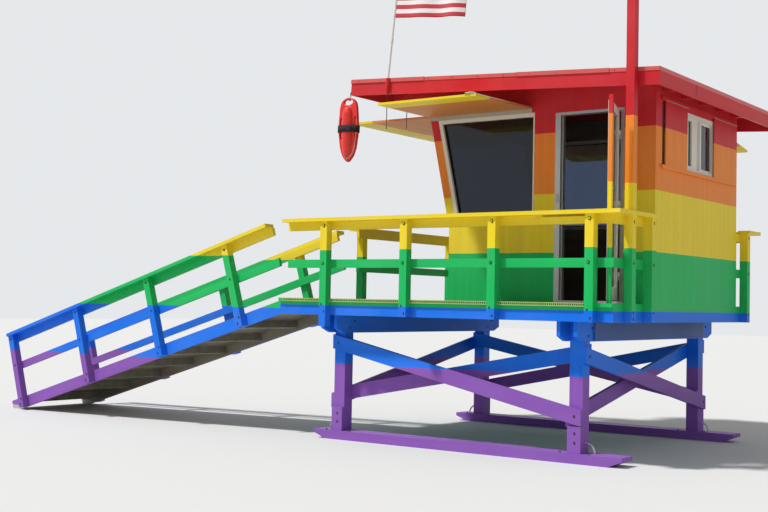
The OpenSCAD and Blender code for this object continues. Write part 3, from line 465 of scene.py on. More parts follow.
def plain(name, tint, roughness, grain=60.0, relief=0.1, specular=0.5, coat=0.0, clouds=0.12):
    """A moulded or coated finish with faint mottling."""
    material, tree, shader, at = new_material(name)
    cloud = noise(tree, at["Object"], 6.0, 4.0)
    colour = mix(tree, times(tree, cloud, clouds*2), rgb(tint), rgb([c*0.6 for c in tint]))
    feed(tree, shader.inputs["Base Color"], colour)
    fine = noise(tree, at["Object"], grain, 3.0)
    feed(tree, shader.inputs["Roughness"], sums(tree, "ADD", times(tree, fine, 0.12),
                                                roughness - 0.06))
    shader.inputs["Specular IOR Level"].default_value = specular
    shader.inputs["Coat Weight"].default_value = coat
    bump(tree, shader, fine, relief, 0.0004)
    return material


def flag_cloth():
    """Woven nylon in stripes with a plain canton, by the sheet's own UV map."""
    material, tree, shader, at = new_material("flag_cloth")
    uv = axes(tree, at["UV"])
    count = sums(tree, "FLOOR", times(tree, uv["Y"], float(STRIPES)))
    stripe = sums(tree, "FLOORED_MODULO", count, 2.0)
    colour = mix(tree, stripe, rgb((196, 44, 60)), rgb((238, 234, 232)))
    canton = times(tree, sums(tree, "LESS_THAN", uv["X"], 0.4),
                   sums(tree, "GREATER_THAN", uv["Y"], 6/STRIPES))
    colour = mix(tree, canton, colour, rgb((44, 52, 110)))
    weave = times(tree, sums(tree, "SINE", times(tree, uv["X"], 2600.0)),
                  sums(tree, "SINE", times(tree, uv["Y"], 1800.0)))
    feed(tree, shader.inputs["Base Color"], colour)
    shader.inputs["Roughness"].default_value = 0.75
    shader.inputs["Sheen Weight"].default_value = 0.3
    bump(tree, shader, weave, 0.2, 0.0003)
    return material


def rope_fibre(name, tint, pitch):
    """Laid rope: slanting strands by the piece's UV map, darker along the grooves between them as
    painted shade, or one tone where it has none.
    """
    material, tree, shader, at = new_material(name)
    uv = axes(tree, at["UV"])
    lay = sums(tree, "SINE", sums(tree, "ADD", times(tree, uv["X"], pitch),
                                  times(tree, uv["Y"], 18.85)))
    # The grooves between strands are painted darker: painted shade that follows the bump
    shade = spread(tree, lay, -1.0, 1.0)
    feed(tree, shader.inputs["Base Color"], mix(tree, shade, rgb([c*0.7 for c in tint]), rgb(tint)))
    shader.inputs["Roughness"].default_value = 0.8
    bump(tree, shader, lay, 0.5, 0.001)
    return material


# Materials

PAINT_X = paint("paint_along", wear=0.6)
PAINT_Y = paint("paint_across", turn=CROSSWISE, wear=0.6)
PAINT_Z = paint("paint_upright", turn=UPRIGHT, wear=0.6)
PAINT_CROSS = paint("paint_both_ways", cross=True, wear=0.6)
PAINT_RAMP = paint("paint_ramp", turn=(0, RAMP_SLOPE, 0), wear=0.8, dust=0.25, drop=RAMP_DROP)
PAINT_RAMP_POST = paint("paint_ramp_post", turn=(0, RAMP_SLOPE + math.pi/2, 0), wear=0.6,
                        drop=RAMP_DROP)
PAINT_STRINGER = paint("paint_stringer", turn=(0, RAMP_SLOPE, 0), wear=0.8, dust=0.25,
                       colour=stringer_colour)
PAINT_FEET = paint("paint_feet", wear=1.0, dust=0.5)
PAINT_WALL = paint("paint_wall", turn=UPRIGHT, wear=0.2, colour=wall_colour, relief=0.2)
PAINT_DECK = paint("paint_deck", turn=CROSSWISE, wear=0.6, dust=0.3, colour=deck_colour)
PAINT_ROOF = paint("paint_roof", wear=0.3, colour=roof_colour)
BARE_RAMP = paint("bare_ramp", turn=(0, RAMP_SLOPE, 0), fade=0.2, dust=0.4, wear=0.0,
                  colour=lambda tree, at: bare_wood(tree, at, BARE_RAMP_TINT), relief=0.6)
BARE_BEARER = paint("bare_bearer", turn=CROSSWISE, fade=0.2, dust=0.4, wear=0.0,
                    colour=lambda tree, at: bare_wood(tree, at, (164, 158, 136)), relief=0.6)
COVER_BOARD = paint("cover_board", turn=CROSSWISE, fade=0.3, dust=0.2,
                    colour=lambda tree, at: mix(tree, noise(tree, at["Object"], 3.0),
                                                rgb((62, 96, 160)), rgb((54, 84, 148))))
SHUTTER_NEAR = paint("shutter_near_paint", wear=0.3,
                     colour=shutter_colour("Y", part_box("near_shutter")[0].y, -1))
SHUTTER_FRONT = paint("shutter_front_paint", turn=CROSSWISE, wear=0.3,
                      colour=shutter_colour("X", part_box("front_shutter")[0].x, -1))
SHUTTER_FAR = paint("shutter_far_paint", wear=0.3,
                    colour=shutter_colour("Y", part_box("far_shutter")[1].y, 1))
ZINC = metal("galvanised_steel", (150, 148, 140), rust=0.5)
PAINTED_BOLT = metal("bolt_steel", (104, 98, 90), rust=0.7, roughness_up=0.15, metallic=0.5)
# Near-black for the bolts' rings: painted shade for the shadow in their counterbores
BOLT_RECESS_SHADE = plain("painted_bolt_recess_shade", (34, 30, 28), 0.8)
HINGE_STRIP = metal("hinge_strip_zinc", (178, 178, 164), rust=0.4, roughness_up=0.2, metallic=0.25)
ALUMINIUM = metal("mill_aluminium", (176, 178, 176), roughness_up=0.15)
PALE_FRAME = metal("pale_aluminium", (226, 222, 206), roughness_up=0.25, metallic=0.05)
TINTED = glass("tinted_glass", (70, 80, 102))
DOOR_PANE = glass("door_pane", (206, 214, 218))
GASKET = plain("gasket_rubber", (30, 30, 32), 0.7)
POLE = plain("pole_gloss", (236, 236, 232), 0.3, coat=0.3)
FLOAT_SHELL = plain("float_shell", (228, 48, 36), 0.33, grain=180.0, relief=0.25, clouds=0.06)
WEBBING = plain("strap_webbing", (26, 26, 30), 0.85, grain=400.0, relief=0.6)
WHITE_CORD = rope_fibre("white_cord", (226, 224, 214), 120.0)
YELLOW_ROPE = rope_fibre("yellow_rope", (226, 204, 70), 160.0)
# Near-black for the inside of the planks' holes: painted shade
HOLLOW_SHADE = plain("painted_plank_hollow_shade", (18, 20, 18), 0.9)
PLANK_END = plain("plank_end", (172, 206, 112), 0.6, clouds=0.3)
# Dark red for the painted shade in the panel gap and for the fascia's seam line
GAP_SHADE_AND_SEAM = plain("painted_gap_shade_and_seam", (52, 16, 14), 0.8)
FLASHING = plain("flashing_paint", (226, 96, 92), 0.42, clouds=0.22)
HOOP_PAINT = metal("hoop_paint", (186, 176, 192), rust=0.35, roughness_up=0.1, metallic=0.4)
FLAG_CLOTH = flag_cloth()

FINISHES = (
    (PAINT_FEET, "skids foot_plates"),
    (PAINT_Z, "legs rail_posts back_sliding_panels mast slim_post flagpole_bracket"),
    (HOOP_PAINT, "tow_hoops"),
    (PAINT_CROSS, "outer_braces inner_braces"),
    (PAINT_Y, "cap_beams deck_end_rims end_rail_boards end_rail_caps panel_tracks "
              "end_fascias"),
    (COVER_BOARD, "beam_cover_board"),
    (PAINT_X, "deck_side_rims side_rail_boards side_rail_caps roof_rafters side_fascias"),
    (BARE_BEARER, "deck_joists ramp_bearers"),
    (PAINT_DECK, "deck_planks"),
    (PAINT_STRINGER, "ramp_stringers"),
    (BARE_RAMP, "ramp_floor"),
    (PAINT_RAMP_POST, "ramp_rail_posts"),
    (PAINT_RAMP, "ramp_rail_boards ramp_rail_caps"),
    (PAINT_WALL, "near_wall_front near_wall_over_door near_wall_back far_wall "
                 "front_wall back_wall"),
    (PALE_FRAME, "window_frames door_leaf"),
    (TINTED, "window_glass"),
    (ALUMINIUM, "door_frame"),
    (DOOR_PANE, "door_glass"),
    (SHUTTER_NEAR, "near_shutter"),
    (SHUTTER_FRONT, "front_shutter"),
    (SHUTTER_FAR, "far_shutter"),
    (HINGE_STRIP, "shutter_hinge_strips"),
    (PAINTED_BOLT, "shutter_hooks"),
    (PAINT_ROOF, "roof_sheet"),
    (POLE, "flagpole"),
    (ZINC, "float_hook"),
)


def finish_nodes():
    """Gives each CAD node its finish."""
    for material, names in FINISHES:
        for name in names.split():
            node = nodes[name]
            node.data.materials.clear()
            node.data.materials.append(material)


# Piece helpers

def piece(name, bm, material, body="tower", smooth=False, recess_shade=None):
    """A new piece from a bmesh that is already in place, riding on a body."""
    mesh = bpy.data.meshes.new(name)
    bm.to_mesh(mesh)
    bm.free()
    mesh.materials.append(material)
    # A second material, for faces marked 1: the bolts' rings of painted counterbore shade
    if recess_shade:
        mesh.materials.append(recess_shade)
    if smooth:
        mesh.shade_smooth()
    made = bpy.data.objects.new(name, mesh)
    scene.collection.objects.link(made)
    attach(made, body)
    return made


def add_board(bm, low, high, bevel=0.0, turn=None):
    """A board between two corners, its edges eased."""
    low, high = Vector(low), Vector(high)
    made = bmesh.ops.create_cube(bm, size=1)["verts"]
    bmesh.ops.scale(bm, vec=high - low, verts=made)
    bmesh.ops.translate(bm, vec=(low + high)/2, verts=made)
    if turn:
        bmesh.ops.transform(bm, matrix=turn, verts=made)
    if bevel:
        edges = {e for v in made for e in v.link_edges}
        bmesh.ops.bevel(bm, geom=list(edges), offset=bevel, segments=2, profile=0.5,
                        affect="EDGES", material=-1)


def facing(direction, place):
    """Turns +Z to a direction and moves to a place."""
    turn = Vector(direction).to_track_quat("Z", "Y").to_matrix().to_4x4()
    return Matrix.Translation(Vector(place)) @ turn


def add_bolt(bm, place, direction, size=BOLT):
    """A dark ring of painted shade for the shadow in the bolt's counterbore, a hexagon nut and a
    rounded thread end, out along a direction.
    """
    at = facing(direction, place)
    for radius, sides, low, high in ((size*SHADE_RING/BOLT, 20, 0, 0.2), (size, 6, 0.2, 0.95),
                                     (size*0.45, 10, 0.95, 1.35)):
        part = bmesh.ops.create_cone(bm, cap_ends=True, segments=sides, radius1=radius,
                                     radius2=radius*0.94, depth=(high - low)*size)["verts"]
        bmesh.ops.translate(bm, vec=(0, 0, (low + high)/2*size), verts=part)
        bmesh.ops.transform(bm, matrix=at, verts=part)
        for face in {f for v in part for f in v.link_faces}:
            # The ring takes the second material, the painted counterbore shade; the nut and thread end
            # take the first
            face.material_index = 0 if low else 1


def add_screw(bm, place, direction, size=SCREW):
    """A screw's countersunk head, just proud of the wood."""
    head = bmesh.ops.create_cone(bm, cap_ends=True, segments=10, radius1=size, radius2=size*0.7,
                                 depth=0.002)["verts"]
    bmesh.ops.transform(bm, matrix=facing(direction, place), verts=head)


def add_rod(bm, start, end, width, sides=10):
    """A round rod between two points."""
    start, end = Vector(start), Vector(end)
    rod = bmesh.ops.create_cone(bm, cap_ends=True, segments=sides, radius1=width/2,
                                radius2=width/2, depth=(end - start).length)["verts"]
    bmesh.ops.transform(bm, matrix=facing(end - start, (start + end)/2), verts=rod)


def post_bolts():
    """Bolts sunk in the railing posts at each rail board, and two at the deck's edge."""
    sunk = bmesh.new()
    small = bmesh.new()
    for x in POSTS:
        for y, way in ((NEAR_POSTS, -1), (FAR_POSTS, 1)):
            for dx, z in ((0.004, 2.303), (-0.005, 1.900)):
                add_bolt(sunk, (x + dx, y, z), (0, way, 0))
            for dx, z in ((-0.014, 1.462), (0.018, 1.385)):
                add_bolt(small, (x + dx, y, z), (0, way, 0), EDGE_BOLT)
    for x, way, places in ((2.0075, 1, (0.378, 3.018)), (-2.1705, -1, (1.218, 3.1785))):
        for y in places:
            for z in (2.300, 1.898):
                add_bolt(sunk, (x, y, z), (way, 0, 0), 0.009)
            add_bolt(small, (x, y, 1.44), (way, 0, 0), EDGE_BOLT)
    for z in (2.285, 1.898, 1.44, 1.38):
        add_bolt(sunk, (2.0015, -0.062, z), (1, 0, 0), 0.008)
    piece("post_bolts", sunk, PAINT_Z, recess_shade=BOLT_RECESS_SHADE)
    piece("deck_edge_bolts", small, PAINTED_BOLT, recess_shade=BOLT_RECESS_SHADE)


def leg_bolts():
    """Bolts through the foot boards, the braces' ends and the doubled cap beams, and the
    thread ends that stand on the runners."""
    bm = bmesh.new()
    for x in (-LEG_X, LEG_X):
        for y, way in ((-BRACE_FACE, -1), (FAR_LEG + BRACE_FACE, 1)):
            for z in (0.195, 0.285):
                add_bolt(bm, (x + 0.006, y, z), (0, way, 0), LEG_BOLT)
        for y in (0, FAR_LEG):
            for side in (-1, 1):
                for dy, z in ((-0.04, 1.21), (0.04, 1.285)):
                    add_bolt(bm, (x + side*BRACE_FACE, y + dy, z), (side, 0, 0), LEG_BOLT)
            for dx in (-0.155, 0.155):
                add_bolt(bm, (x + dx, y - 0.085, 0.096), (0, 0, 1), BOLT)
    for x, z in ((-LEG_X, 1.045), (LEG_X, 0.446)):
        add_bolt(bm, (x, -BRACE_FACE, z), (0, -1, 0), LEG_BOLT)
        add_bolt(bm, (-x, FAR_LEG + BRACE_FACE, z), (0, 1, 0), LEG_BOLT)
    for y, z in ((0.0, 1.015), (FAR_LEG, 0.430)):
        add_bolt(bm, (LEG_X + BRACE_FACE, y, z), (1, 0, 0), LEG_BOLT)
        add_bolt(bm, (-LEG_X - BRACE_FACE, FAR_LEG - y, z), (-1, 0, 0), LEG_BOLT)
    piece("leg_bolts", bm, PAINTED_BOLT, recess_shade=BOLT_RECESS_SHADE)


def ramp_point(down, y, up):
    """A point on the ramp: down its slope from the deck, across it, and square to it."""
    return Vector((FRONT_EDGE - down*math.cos(RAMP_SLOPE) - up*math.sin(RAMP_SLOPE), y,
                   DECK_UNDERSIDE - down*math.sin(RAMP_SLOPE) + up*math.cos(RAMP_SLOPE)))


def ramp_fixings():
    """Bolts through the ramp's posts, and screws along its side boards and at the deck's corner."""
    bm = bmesh.new()
    for i in range(4):
        down = 0.590 + 1.325*i - 0.0445
        for y, way in ((NEAR_POSTS, -1), (0.962, 1)):
            for shift, up in ((0.0, 0.905), (0.0, 0.556), (-0.018, 0.105), (0.018, 0.040)):
                add_bolt(bm, ramp_point(down + shift, y, up), (0, way, 0), LEG_BOLT)
    for i in range(34):
        for y, way in ((NEAR_RIM, -1), (0.874, 1)):
            up = 0.122 if i % 2 else 0.100
            add_screw(bm, ramp_point(0.08 + 0.13*i, y, up), (0, way, 0), 0.0055)
    for i in range(5):
        add_screw(bm, (-2.05 + 0.12*i, NEAR_RIM, 1.46 if i % 2 else 1.40), (0, -1, 0), 0.0085)
    piece("ramp_fixings", bm, PAINTED_BOLT, recess_shade=BOLT_RECESS_SHADE)


def deck_screws():
    """Screws in the deck's side boards, high and low in turn."""
    bm = bmesh.new()
    for y, way in ((NEAR_RIM, -1), (FAR_RIM, 1)):
        for i in range(14):
            x = -1.86 + 0.27*i
            add_screw(bm, (x, y, 1.462 if i % 2 else 1.425), (0, way, 0), 0.006)
    piece("deck_screws", bm, PAINTED_BOLT)


def plank_ends():
    """The planks' ends between the posts: a pale skin with a row of small holes, and behind it a dark
    sheet of painted shade for the shadow inside the planks.
    """
    skin = bmesh.new()
    hollow_shade = bmesh.new()
    pitch, web, depth = 0.022, 0.009, 0.003
    spans = [(FRONT_EDGE + 0.060, POSTS[0] - POST_GAP)]
    spans += [(a + POST_GAP, b - POST_GAP) for a, b in zip(POSTS, POSTS[1:])]
    for y0, y1 in ((-0.357 - depth, -0.357), (3.253, 3.253 + depth)):
        for x0, x1 in spans:
            x1 = min(x1, 1.67)
            add_board(skin, (x0, y0, 1.489), (x1, y1, 1.498))
            add_board(skin, (x0, y0, 1.5165), (x1, y1, 1.5245))
            inner = y0 + depth*0.6 if y0 < 0 else y0
            # A near-black sheet behind the holes: painted shade for the shadow inside the planks
            add_board(hollow_shade, (x0, inner, 1.497), (x1, inner + depth*0.4, 1.517))
            for i in range(int((x1 - x0 - web)/pitch) + 1):
                x = x0 + i*pitch
                add_board(skin, (x, y0, 1.498), (x + web, y1, 1.5165))
    piece("plank_skins", skin, PLANK_END)
    piece("plank_hollow_shade_sheets", hollow_shade, HOLLOW_SHADE)


def roof_flashing():
    """The metal strip bent over the fascias' top edges, with every other side length lifted."""
    bm = bmesh.new()
    tilt = Matrix.Translation(ROOF_CORNER) @ Matrix.Rotation(ROOF_FALL, 4, "Y")
    length, width = ROOF_LENGTH, ROOF_WIDTH
    sheet, cover, drop = 0.002, 0.055, 0.036
    hem, end_hem, nail_drop = 0.006, 0.0015, 0.018
    joints = (-length, -2.64, -1.53, -0.51, 0)
    for i, (x0, x1) in enumerate(zip(joints, joints[1:])):
        lift = 0.005*((i + 1) % 2)
        for y0, y1 in ((-hem - lift, 0), (width, width + hem + lift)):
            add_board(bm, (x0 + 0.003, y0, -drop), (x1 - 0.003, y1, sheet + lift/2), turn=tilt)
        for y0, y1 in ((0, cover), (width - cover, width)):
            add_board(bm, (x0, y0, 0), (x1, y1, sheet), turn=tilt)
    for x0, x1 in ((-length - hem, -length), (0, end_hem)):
        for i in range(3):
            y0, y1 = i*width/3 - hem*(i == 0), (i + 1)*width/3 + hem*(i == 2)
            add_board(bm, (x0, y0 + 0.002, -drop), (x1, y1 - 0.002, sheet), turn=tilt)
    for x0, x1 in ((-length, -length + cover), (-cover, 0)):
        add_board(bm, (x0, cover, 0), (x1, width - cover, sheet), turn=tilt)
    piece("roof_flashing", bm, FLASHING)
    nails = bmesh.new()
    for i in range(12):
        for y, way in ((-hem - 0.004, -1), (width + hem + 0.004, 1)):
            place = tilt @ Vector((-length + 0.10 + 0.305*i, y, -nail_drop))
            add_screw(nails, place, (0, way, 0), 0.006)
        place = tilt @ Vector((end_hem, 0.06 + 0.300*i, -nail_drop))
        add_screw(nails, place, (1, 0, 0), 0.006)
    piece("flashing_nails", nails, PAINTED_BOLT)


def front_line(z):
    """The front wall's outer face at a height."""
    return HUT_FRONT - max(0, z - KNEE_HEIGHT)*FRONT_LEAN


def window_gaskets():
    """Rubber gaskets round the panes of the two side windows."""
    gasket = bmesh.new()
    sill, head = SIDE_SILL + FRAME, SIDE_HEAD - FRAME
    jamb = FRAME/math.cos(LEAN_ANGLE)
    for y0, y1, last in ((NEAR_WALL + 0.020, NEAR_WALL + 0.035, 0.5735 - 0.015),
                         (FAR_WALL - 0.035, FAR_WALL - 0.020, 1.6185 - 0.015)):
        left_low = front_line(sill) + 0.104 + jamb
        left_high = front_line(head) + 0.104 + jamb
        add_board(gasket, (left_low, y0, sill), (last, y1, sill + 0.010))
        add_board(gasket, (left_high, y0, head - 0.010), (last, y1, head))
        add_board(gasket, (last - 0.008, y0, sill), (last, y1, head))
        start = len(gasket.verts)
        add_board(gasket, (0, y0, 0), (0.010, y1, head - sill))
        gasket.verts.ensure_lookup_table()
        for v in gasket.verts[start:]:
            v.co.x += left_low + (left_high - left_low)*v.co.z/(head - sill)
            v.co.z += sill
    piece("window_gaskets", gasket, GASKET)


def back_window():
    """The back window's two sashes, one behind the other, and the seal between them."""
    pale = bmesh.new()
    dark = bmesh.new()
    x0, x1 = BACK_WALL - 0.050, BACK_WALL - 0.008
    z0, z1 = BACK_SILL + FRAME, BACK_HEAD - FRAME
    for y0, y1, back in ((1.538, 1.668, 0.0), (1.684, 1.793, 0.016)):
        add_board(pale, (x0 - back, y0, z0), (x1 - back, y1, z1), bevel=0.003)
    for y0, y1, back in ((1.423, 1.538, 0.0), (1.793, 2.087, 0.016)):
        add_board(pale, (x0 - back, y0, z0), (x1 - back, y1, z0 + 0.030), bevel=0.003)
        add_board(pale, (x0 - back, y0, z1 - 0.030), (x1 - back, y1, z1), bevel=0.003)
    add_board(dark, (x0 - 0.012, 1.668, z0), (x1 - 0.014, 1.684, z1))
    piece("back_window_sashes", pale, PALE_FRAME)
    piece("back_window_seal", dark, GASKET)


def back_wall_details():
    """The lips of the panels' top track, a dark sheet of painted shade in the gap beside one panel,
    and the back fascia's seam.
    """
    lips = bmesh.new()
    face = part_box("panel_tracks")[1].x
    for y0, y1 in ((0.785, 1.363), (2.091, 2.781)):
        add_board(lips, (face, y0, 3.548), (face + 0.002, y1, 3.557))
    piece("panel_track_lips", lips, ALUMINIUM)
    gap = bmesh.new()
    # A dark-red sheet in the gap: painted shade where the panel's edge shadows the track
    add_board(gap, (BACK_WALL, 0.752, 2.890), (BACK_WALL + 0.0015, 0.796, 3.552))
    piece("panel_track_gap_shade", gap, GAP_SHADE_AND_SEAM)
    seam = bmesh.new()
    add_board(seam, (2.2180, 0.881, 3.590), (2.2190, 0.885, 3.696))
    piece("fascia_seam", seam, GAP_SHADE_AND_SEAM)


def door_fittings():
    """The open leaf's glazing beads and pull handle, and the keeper on its jamb."""
    turn = Matrix.Translation(DOOR_PIN) @ Matrix.Rotation(DOOR_OPEN, 4, "Z")
    beads = bmesh.new()
    x0, x1 = -0.605, -0.066
    z0, z1 = 1.676, 3.391
    for y0, y1 in ((0.011, 0.022), (0.033, 0.044)):
        add_board(beads, (x0, y0, z0), (x0 + 0.010, y1, z1), turn=turn)
        add_board(beads, (x1 - 0.010, y0, z0), (x1, y1, z1), turn=turn)
        add_board(beads, (x0, y0, z0), (x1, y1, z0 + 0.010), turn=turn)
        add_board(beads, (x0, y0, z1 - 0.010), (x1, y1, z1), turn=turn)
    piece("door_beads", beads, PALE_FRAME, body="door")
    handle = bmesh.new()
    add_board(handle, (-0.653, 0.004, 2.48), (-0.617, 0.010, 2.66), bevel=0.002, turn=turn)
    for start, end, width in (((0.006, 2.52), (-0.028, 2.52), 0.012),
                              ((0.006, 2.62), (-0.028, 2.62), 0.012),
                              ((-0.028, 2.505), (-0.028, 2.635), 0.014)):
        add_rod(handle, turn @ Vector((-0.635, *start)), turn @ Vector((-0.635, *end)), width)
    piece("door_handle", handle, ZINC, body="door")
    keeper = bmesh.new()
    add_board(keeper, (0.828, 0.589, 2.56), (0.864, 0.595, 2.64), bevel=0.002)
    piece("door_keeper", keeper, ZINC)


def add_loops(bm, start, loops, step, reach, strand):
    """Turns of rope side by side, each a ring standing across X."""
    for i in range(loops):
        lean = 0.5*math.sin(2.1*i)*step.length
        ends = []
        for a in range(13):
            angle = a*math.pi/6
            ends.append(start + i*step + Vector((lean*math.sin(angle), reach[0]*math.cos(angle),
                                                 reach[1]*math.sin(angle))))
        for a, b in zip(ends, ends[1:]):
            add_rod(bm, a, b, strand, 8)


def shutter_fittings():
    """The ropes knotted at the near shutter's free edge, the cord along its end, and the
    batten under the front shutter."""
    low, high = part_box("near_shutter")
    edge = Vector((0.418, low.y + 0.009, low.z + 0.026))
    across = Vector((0.0125, 0, 0))
    rope = bmesh.new()
    add_loops(rope, edge, 5, across, (0.013, 0.015), 0.010)
    for a, b in (((-0.012, 0.004, 0.016), (0.024, -0.010, 0.014)),
                 ((0.024, -0.010, 0.014), (0.066, 0.006, 0.020))):
        add_rod(rope, edge + Vector(a), edge + Vector(b), 0.009, 8)
    piece("near_shutter_lashing", rope, YELLOW_ROPE, body="shutter_near",
          smooth=True)
    line = bmesh.new()
    add_loops(line, edge + Vector((0.068, 0, 0)), 3, across*0.8, (0.012, 0.014), 0.007)
    corner = Vector((high.x + 0.002, low.y + 0.012, low.z + 0.022))
    for a, b in ((edge + Vector((0.010, -0.010, 0.012)), edge + Vector((0.074, -0.010, 0.012))),
                 (edge + Vector((0.088, 0, 0.013)), corner),
                 (corner, Vector((high.x + 0.002, 0.545, 3.560)))):
        add_rod(line, a, b, 0.008, 8)
    piece("near_shutter_line", line, WHITE_CORD, body="shutter_near",
          smooth=True)
    low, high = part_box("front_shutter")
    batten = bmesh.new()
    add_board(batten, (low.x + 0.004, 1.704, 3.5445), (-0.800, 1.722, 3.5490), bevel=0.001)
    piece("front_shutter_batten", batten, POLE, body="shutter_front")


def smooth_path(points, between=6):
    """A smooth line through points, as points close together."""
    points = [Vector(p) for p in points]
    ends = [2*points[0] - points[1]] + points + [2*points[-1] - points[-2]]
    line = []
    for a, b, c, d in zip(ends, ends[1:], ends[2:], ends[3:]):
        for i in range(between):
            t = i/between
            line.append(0.5*(2*b + (c - a)*t + (2*a - 5*b + 4*c - d)*t*t
                             + (3*b - a - 3*c + d)*t*t*t))
    return line + [points[-1]]


def float_tether():
    """The white cord from the rescue float's nose up to its strap."""
    low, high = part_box("rescue_float")
    foot = Vector(((low.x + high.x)/2, (low.y + high.y)/2, low.z))
    route = smooth_path([foot + Vector(p) for p in (
        (0.002, -0.034, 0.030), (0.042, -0.046, 0.046), (0.080, -0.038, 0.088),
        (0.099, -0.028, 0.160), (0.110, -0.025, 0.240), (0.119, -0.024, 0.335))])
    line = bpy.data.curves.new("float_tether", "CURVE")
    line.dimensions = "3D"
    spline = line.splines.new("POLY")
    spline.points.add(len(route) - 1)
    for point, place in zip(spline.points, route):
        point.co = (*place, 1)
    line.bevel_depth = 0.003
    line.bevel_resolution = 3
    line.use_fill_caps = True
    line.materials.append(WHITE_CORD)
    tether = bpy.data.objects.new("float_tether", line)
    scene.collection.objects.link(tether)
    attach(tether, "tower")


# The rescue float's plate: heights above its nose with half widths, its thickness, its size and
# its grid's cells
FLOAT_OUTLINE = ((0, 0), (0.008, 0.020), (0.025, 0.036), (0.05, 0.060), (0.08, 0.079), (0.145, 0.104),
                 (0.21, 0.117), (0.275, 0.126), (0.34, 0.1325), (0.42, 0.1325), (0.50, 0.127),
                 (0.60, 0.119), (0.65, 0.106), (0.68, 0.086), (0.70, 0.058), (0.713, 0.018))
FLOAT_PLATE = 0.036
FLOAT_SIZE = (0.267, 0.714)
FLOAT_CELLS = (89, 238)

# The body's turned outline as radii with heights, its flattening and the skin's voxel size
FLOAT_CORE = ((0, 0.006), (0.018, 0.010), (0.034, 0.024), (0.053, 0.062), (0.070, 0.120),
              (0.080, 0.190), (0.0845, 0.280), (0.0845, 0.460), (0.079, 0.540), (0.062, 0.592),
              (0.034, 0.614), (0, 0.620))
FLOAT_FLATTEN = 0.84
FLOAT_VOXEL = 0.0042

# The strap: half its width and depth, its height and how far up the float it sits
STRAP_REACH = (0.1355, 0.0870)
STRAP_HEIGHT = 0.076
STRAP_FOOT = 0.326


def made_real(thing):
    """Gives a piece the mesh that its modifiers make, without them."""
    graph = bpy.context.evaluated_depsgraph_get()
    mesh = bpy.data.meshes.new_from_object(thing.evaluated_get(graph))
    thing.modifiers.clear()
    thing.data = mesh


def float_half_width(z):
    """Half the rescue float's width at a height above its nose."""
    for (z0, w0), (z1, w1) in zip(FLOAT_OUTLINE, FLOAT_OUTLINE[1:]):
        if z <= z1:
            return w0 + (w1 - w0)*(z - z0)/(z1 - z0)
    return 0


def in_float_plate(x, z):
    """Whether a point is in the float's plate and clear of its three hand holes."""
    in_top = (x/0.062)**2 + ((z - 0.662)/0.030)**2 < 1
    in_slot = ((abs(x) - 0.098)/0.011)**4 + ((z - 0.376)/0.125)**4 < 1
    return abs(x) < float_half_width(z) and not in_top and not in_slot


def float_plate():
    """The float's plate with its hand holes, nose down at the origin."""
    bm = bmesh.new()
    bmesh.ops.create_grid(bm, x_segments=FLOAT_CELLS[0], y_segments=FLOAT_CELLS[1], size=0.5)
    bmesh.ops.scale(bm, vec=(*FLOAT_SIZE, 1), verts=bm.verts)
    bmesh.ops.translate(bm, vec=(0, FLOAT_SIZE[1]/2, 0), verts=bm.verts)
    outside = [f for f in bm.faces if not in_float_plate(*f.calc_center_median().xy)]
    bmesh.ops.delete(bm, geom=outside, context="FACES")
    bmesh.ops.rotate(bm, cent=(0, 0, 0), matrix=Matrix.Rotation(math.pi/2, 3, "X"), verts=bm.verts)
    bmesh.ops.translate(bm, vec=(0, FLOAT_PLATE/2, 0), verts=bm.verts)
    bmesh.ops.solidify(bm, geom=bm.faces[:], thickness=FLOAT_PLATE)
    middle = sum(v.co.y for v in bm.verts)/len(bm.verts)
    bmesh.ops.translate(bm, vec=(0, -middle, 0), verts=bm.verts)
    return bm


def float_core():
    """The float's thicker body as a mesh, turned and then flattened."""
    core = bmesh.new()
    ring = [core.verts.new((r, 0, z)) for r, z in FLOAT_CORE]
    edges = [core.edges.new(pair) for pair in zip(ring, ring[1:])]
    bmesh.ops.spin(core, geom=ring + edges, cent=(0, 0, 0), axis=(0, 0, 1), angle=2*math.pi,
                   steps=40, use_merge=True)
    bmesh.ops.remove_doubles(core, verts=core.verts, dist=0.0002)
    bmesh.ops.scale(core, vec=(FLOAT_FLATTEN, 1, 1), verts=core.verts)
    body = bpy.data.meshes.new("float_core")
    core.to_mesh(body)
    core.free()
    return body


def float_strap(foot):
    """The webbing strap round the float's body and its buckle."""
    strap = bmesh.new()
    band = bmesh.ops.create_circle(strap, segments=72, radius=1)["verts"]
    bmesh.ops.scale(strap, vec=(*STRAP_REACH, 1), verts=band)
    made = bmesh.ops.extrude_edge_only(strap, edges=strap.edges[:])["geom"]
    top = [v for v in made if isinstance(v, bmesh.types.BMVert)]
    bmesh.ops.translate(strap, vec=(0, 0, STRAP_HEIGHT), verts=top)
    bmesh.ops.recalc_face_normals(strap, faces=strap.faces)
    bmesh.ops.rotate(strap, cent=(0, 0, STRAP_HEIGHT/2), verts=strap.verts,
                     matrix=Matrix.Rotation(math.radians(2), 3, "Y"))
    bmesh.ops.transform(strap, matrix=foot @ Matrix.Translation((0, 0, STRAP_FOOT)),
                        verts=strap.verts)
    webbing = piece("float_strap", strap, WEBBING, smooth=True)
    thick = webbing.modifiers.new("thickness", "SOLIDIFY")
    thick.thickness = 0.0022
    thick.offset = 1
    buckle = bmesh.new()
    seat = foot @ Matrix.Translation((0.062, -0.0830, 0.364))
    seat = seat @ Matrix.Rotation(math.radians(17), 4, "Z")
    add_board(buckle, (-0.026, -0.010, -0.030), (0.026, 0.000, 0.030), bevel=0.003, turn=seat)
    add_board(buckle, (-0.014, -0.014, -0.020), (0.014, -0.008, 0.020), bevel=0.002, turn=seat)
    piece("float_buckle", buckle, GASKET)


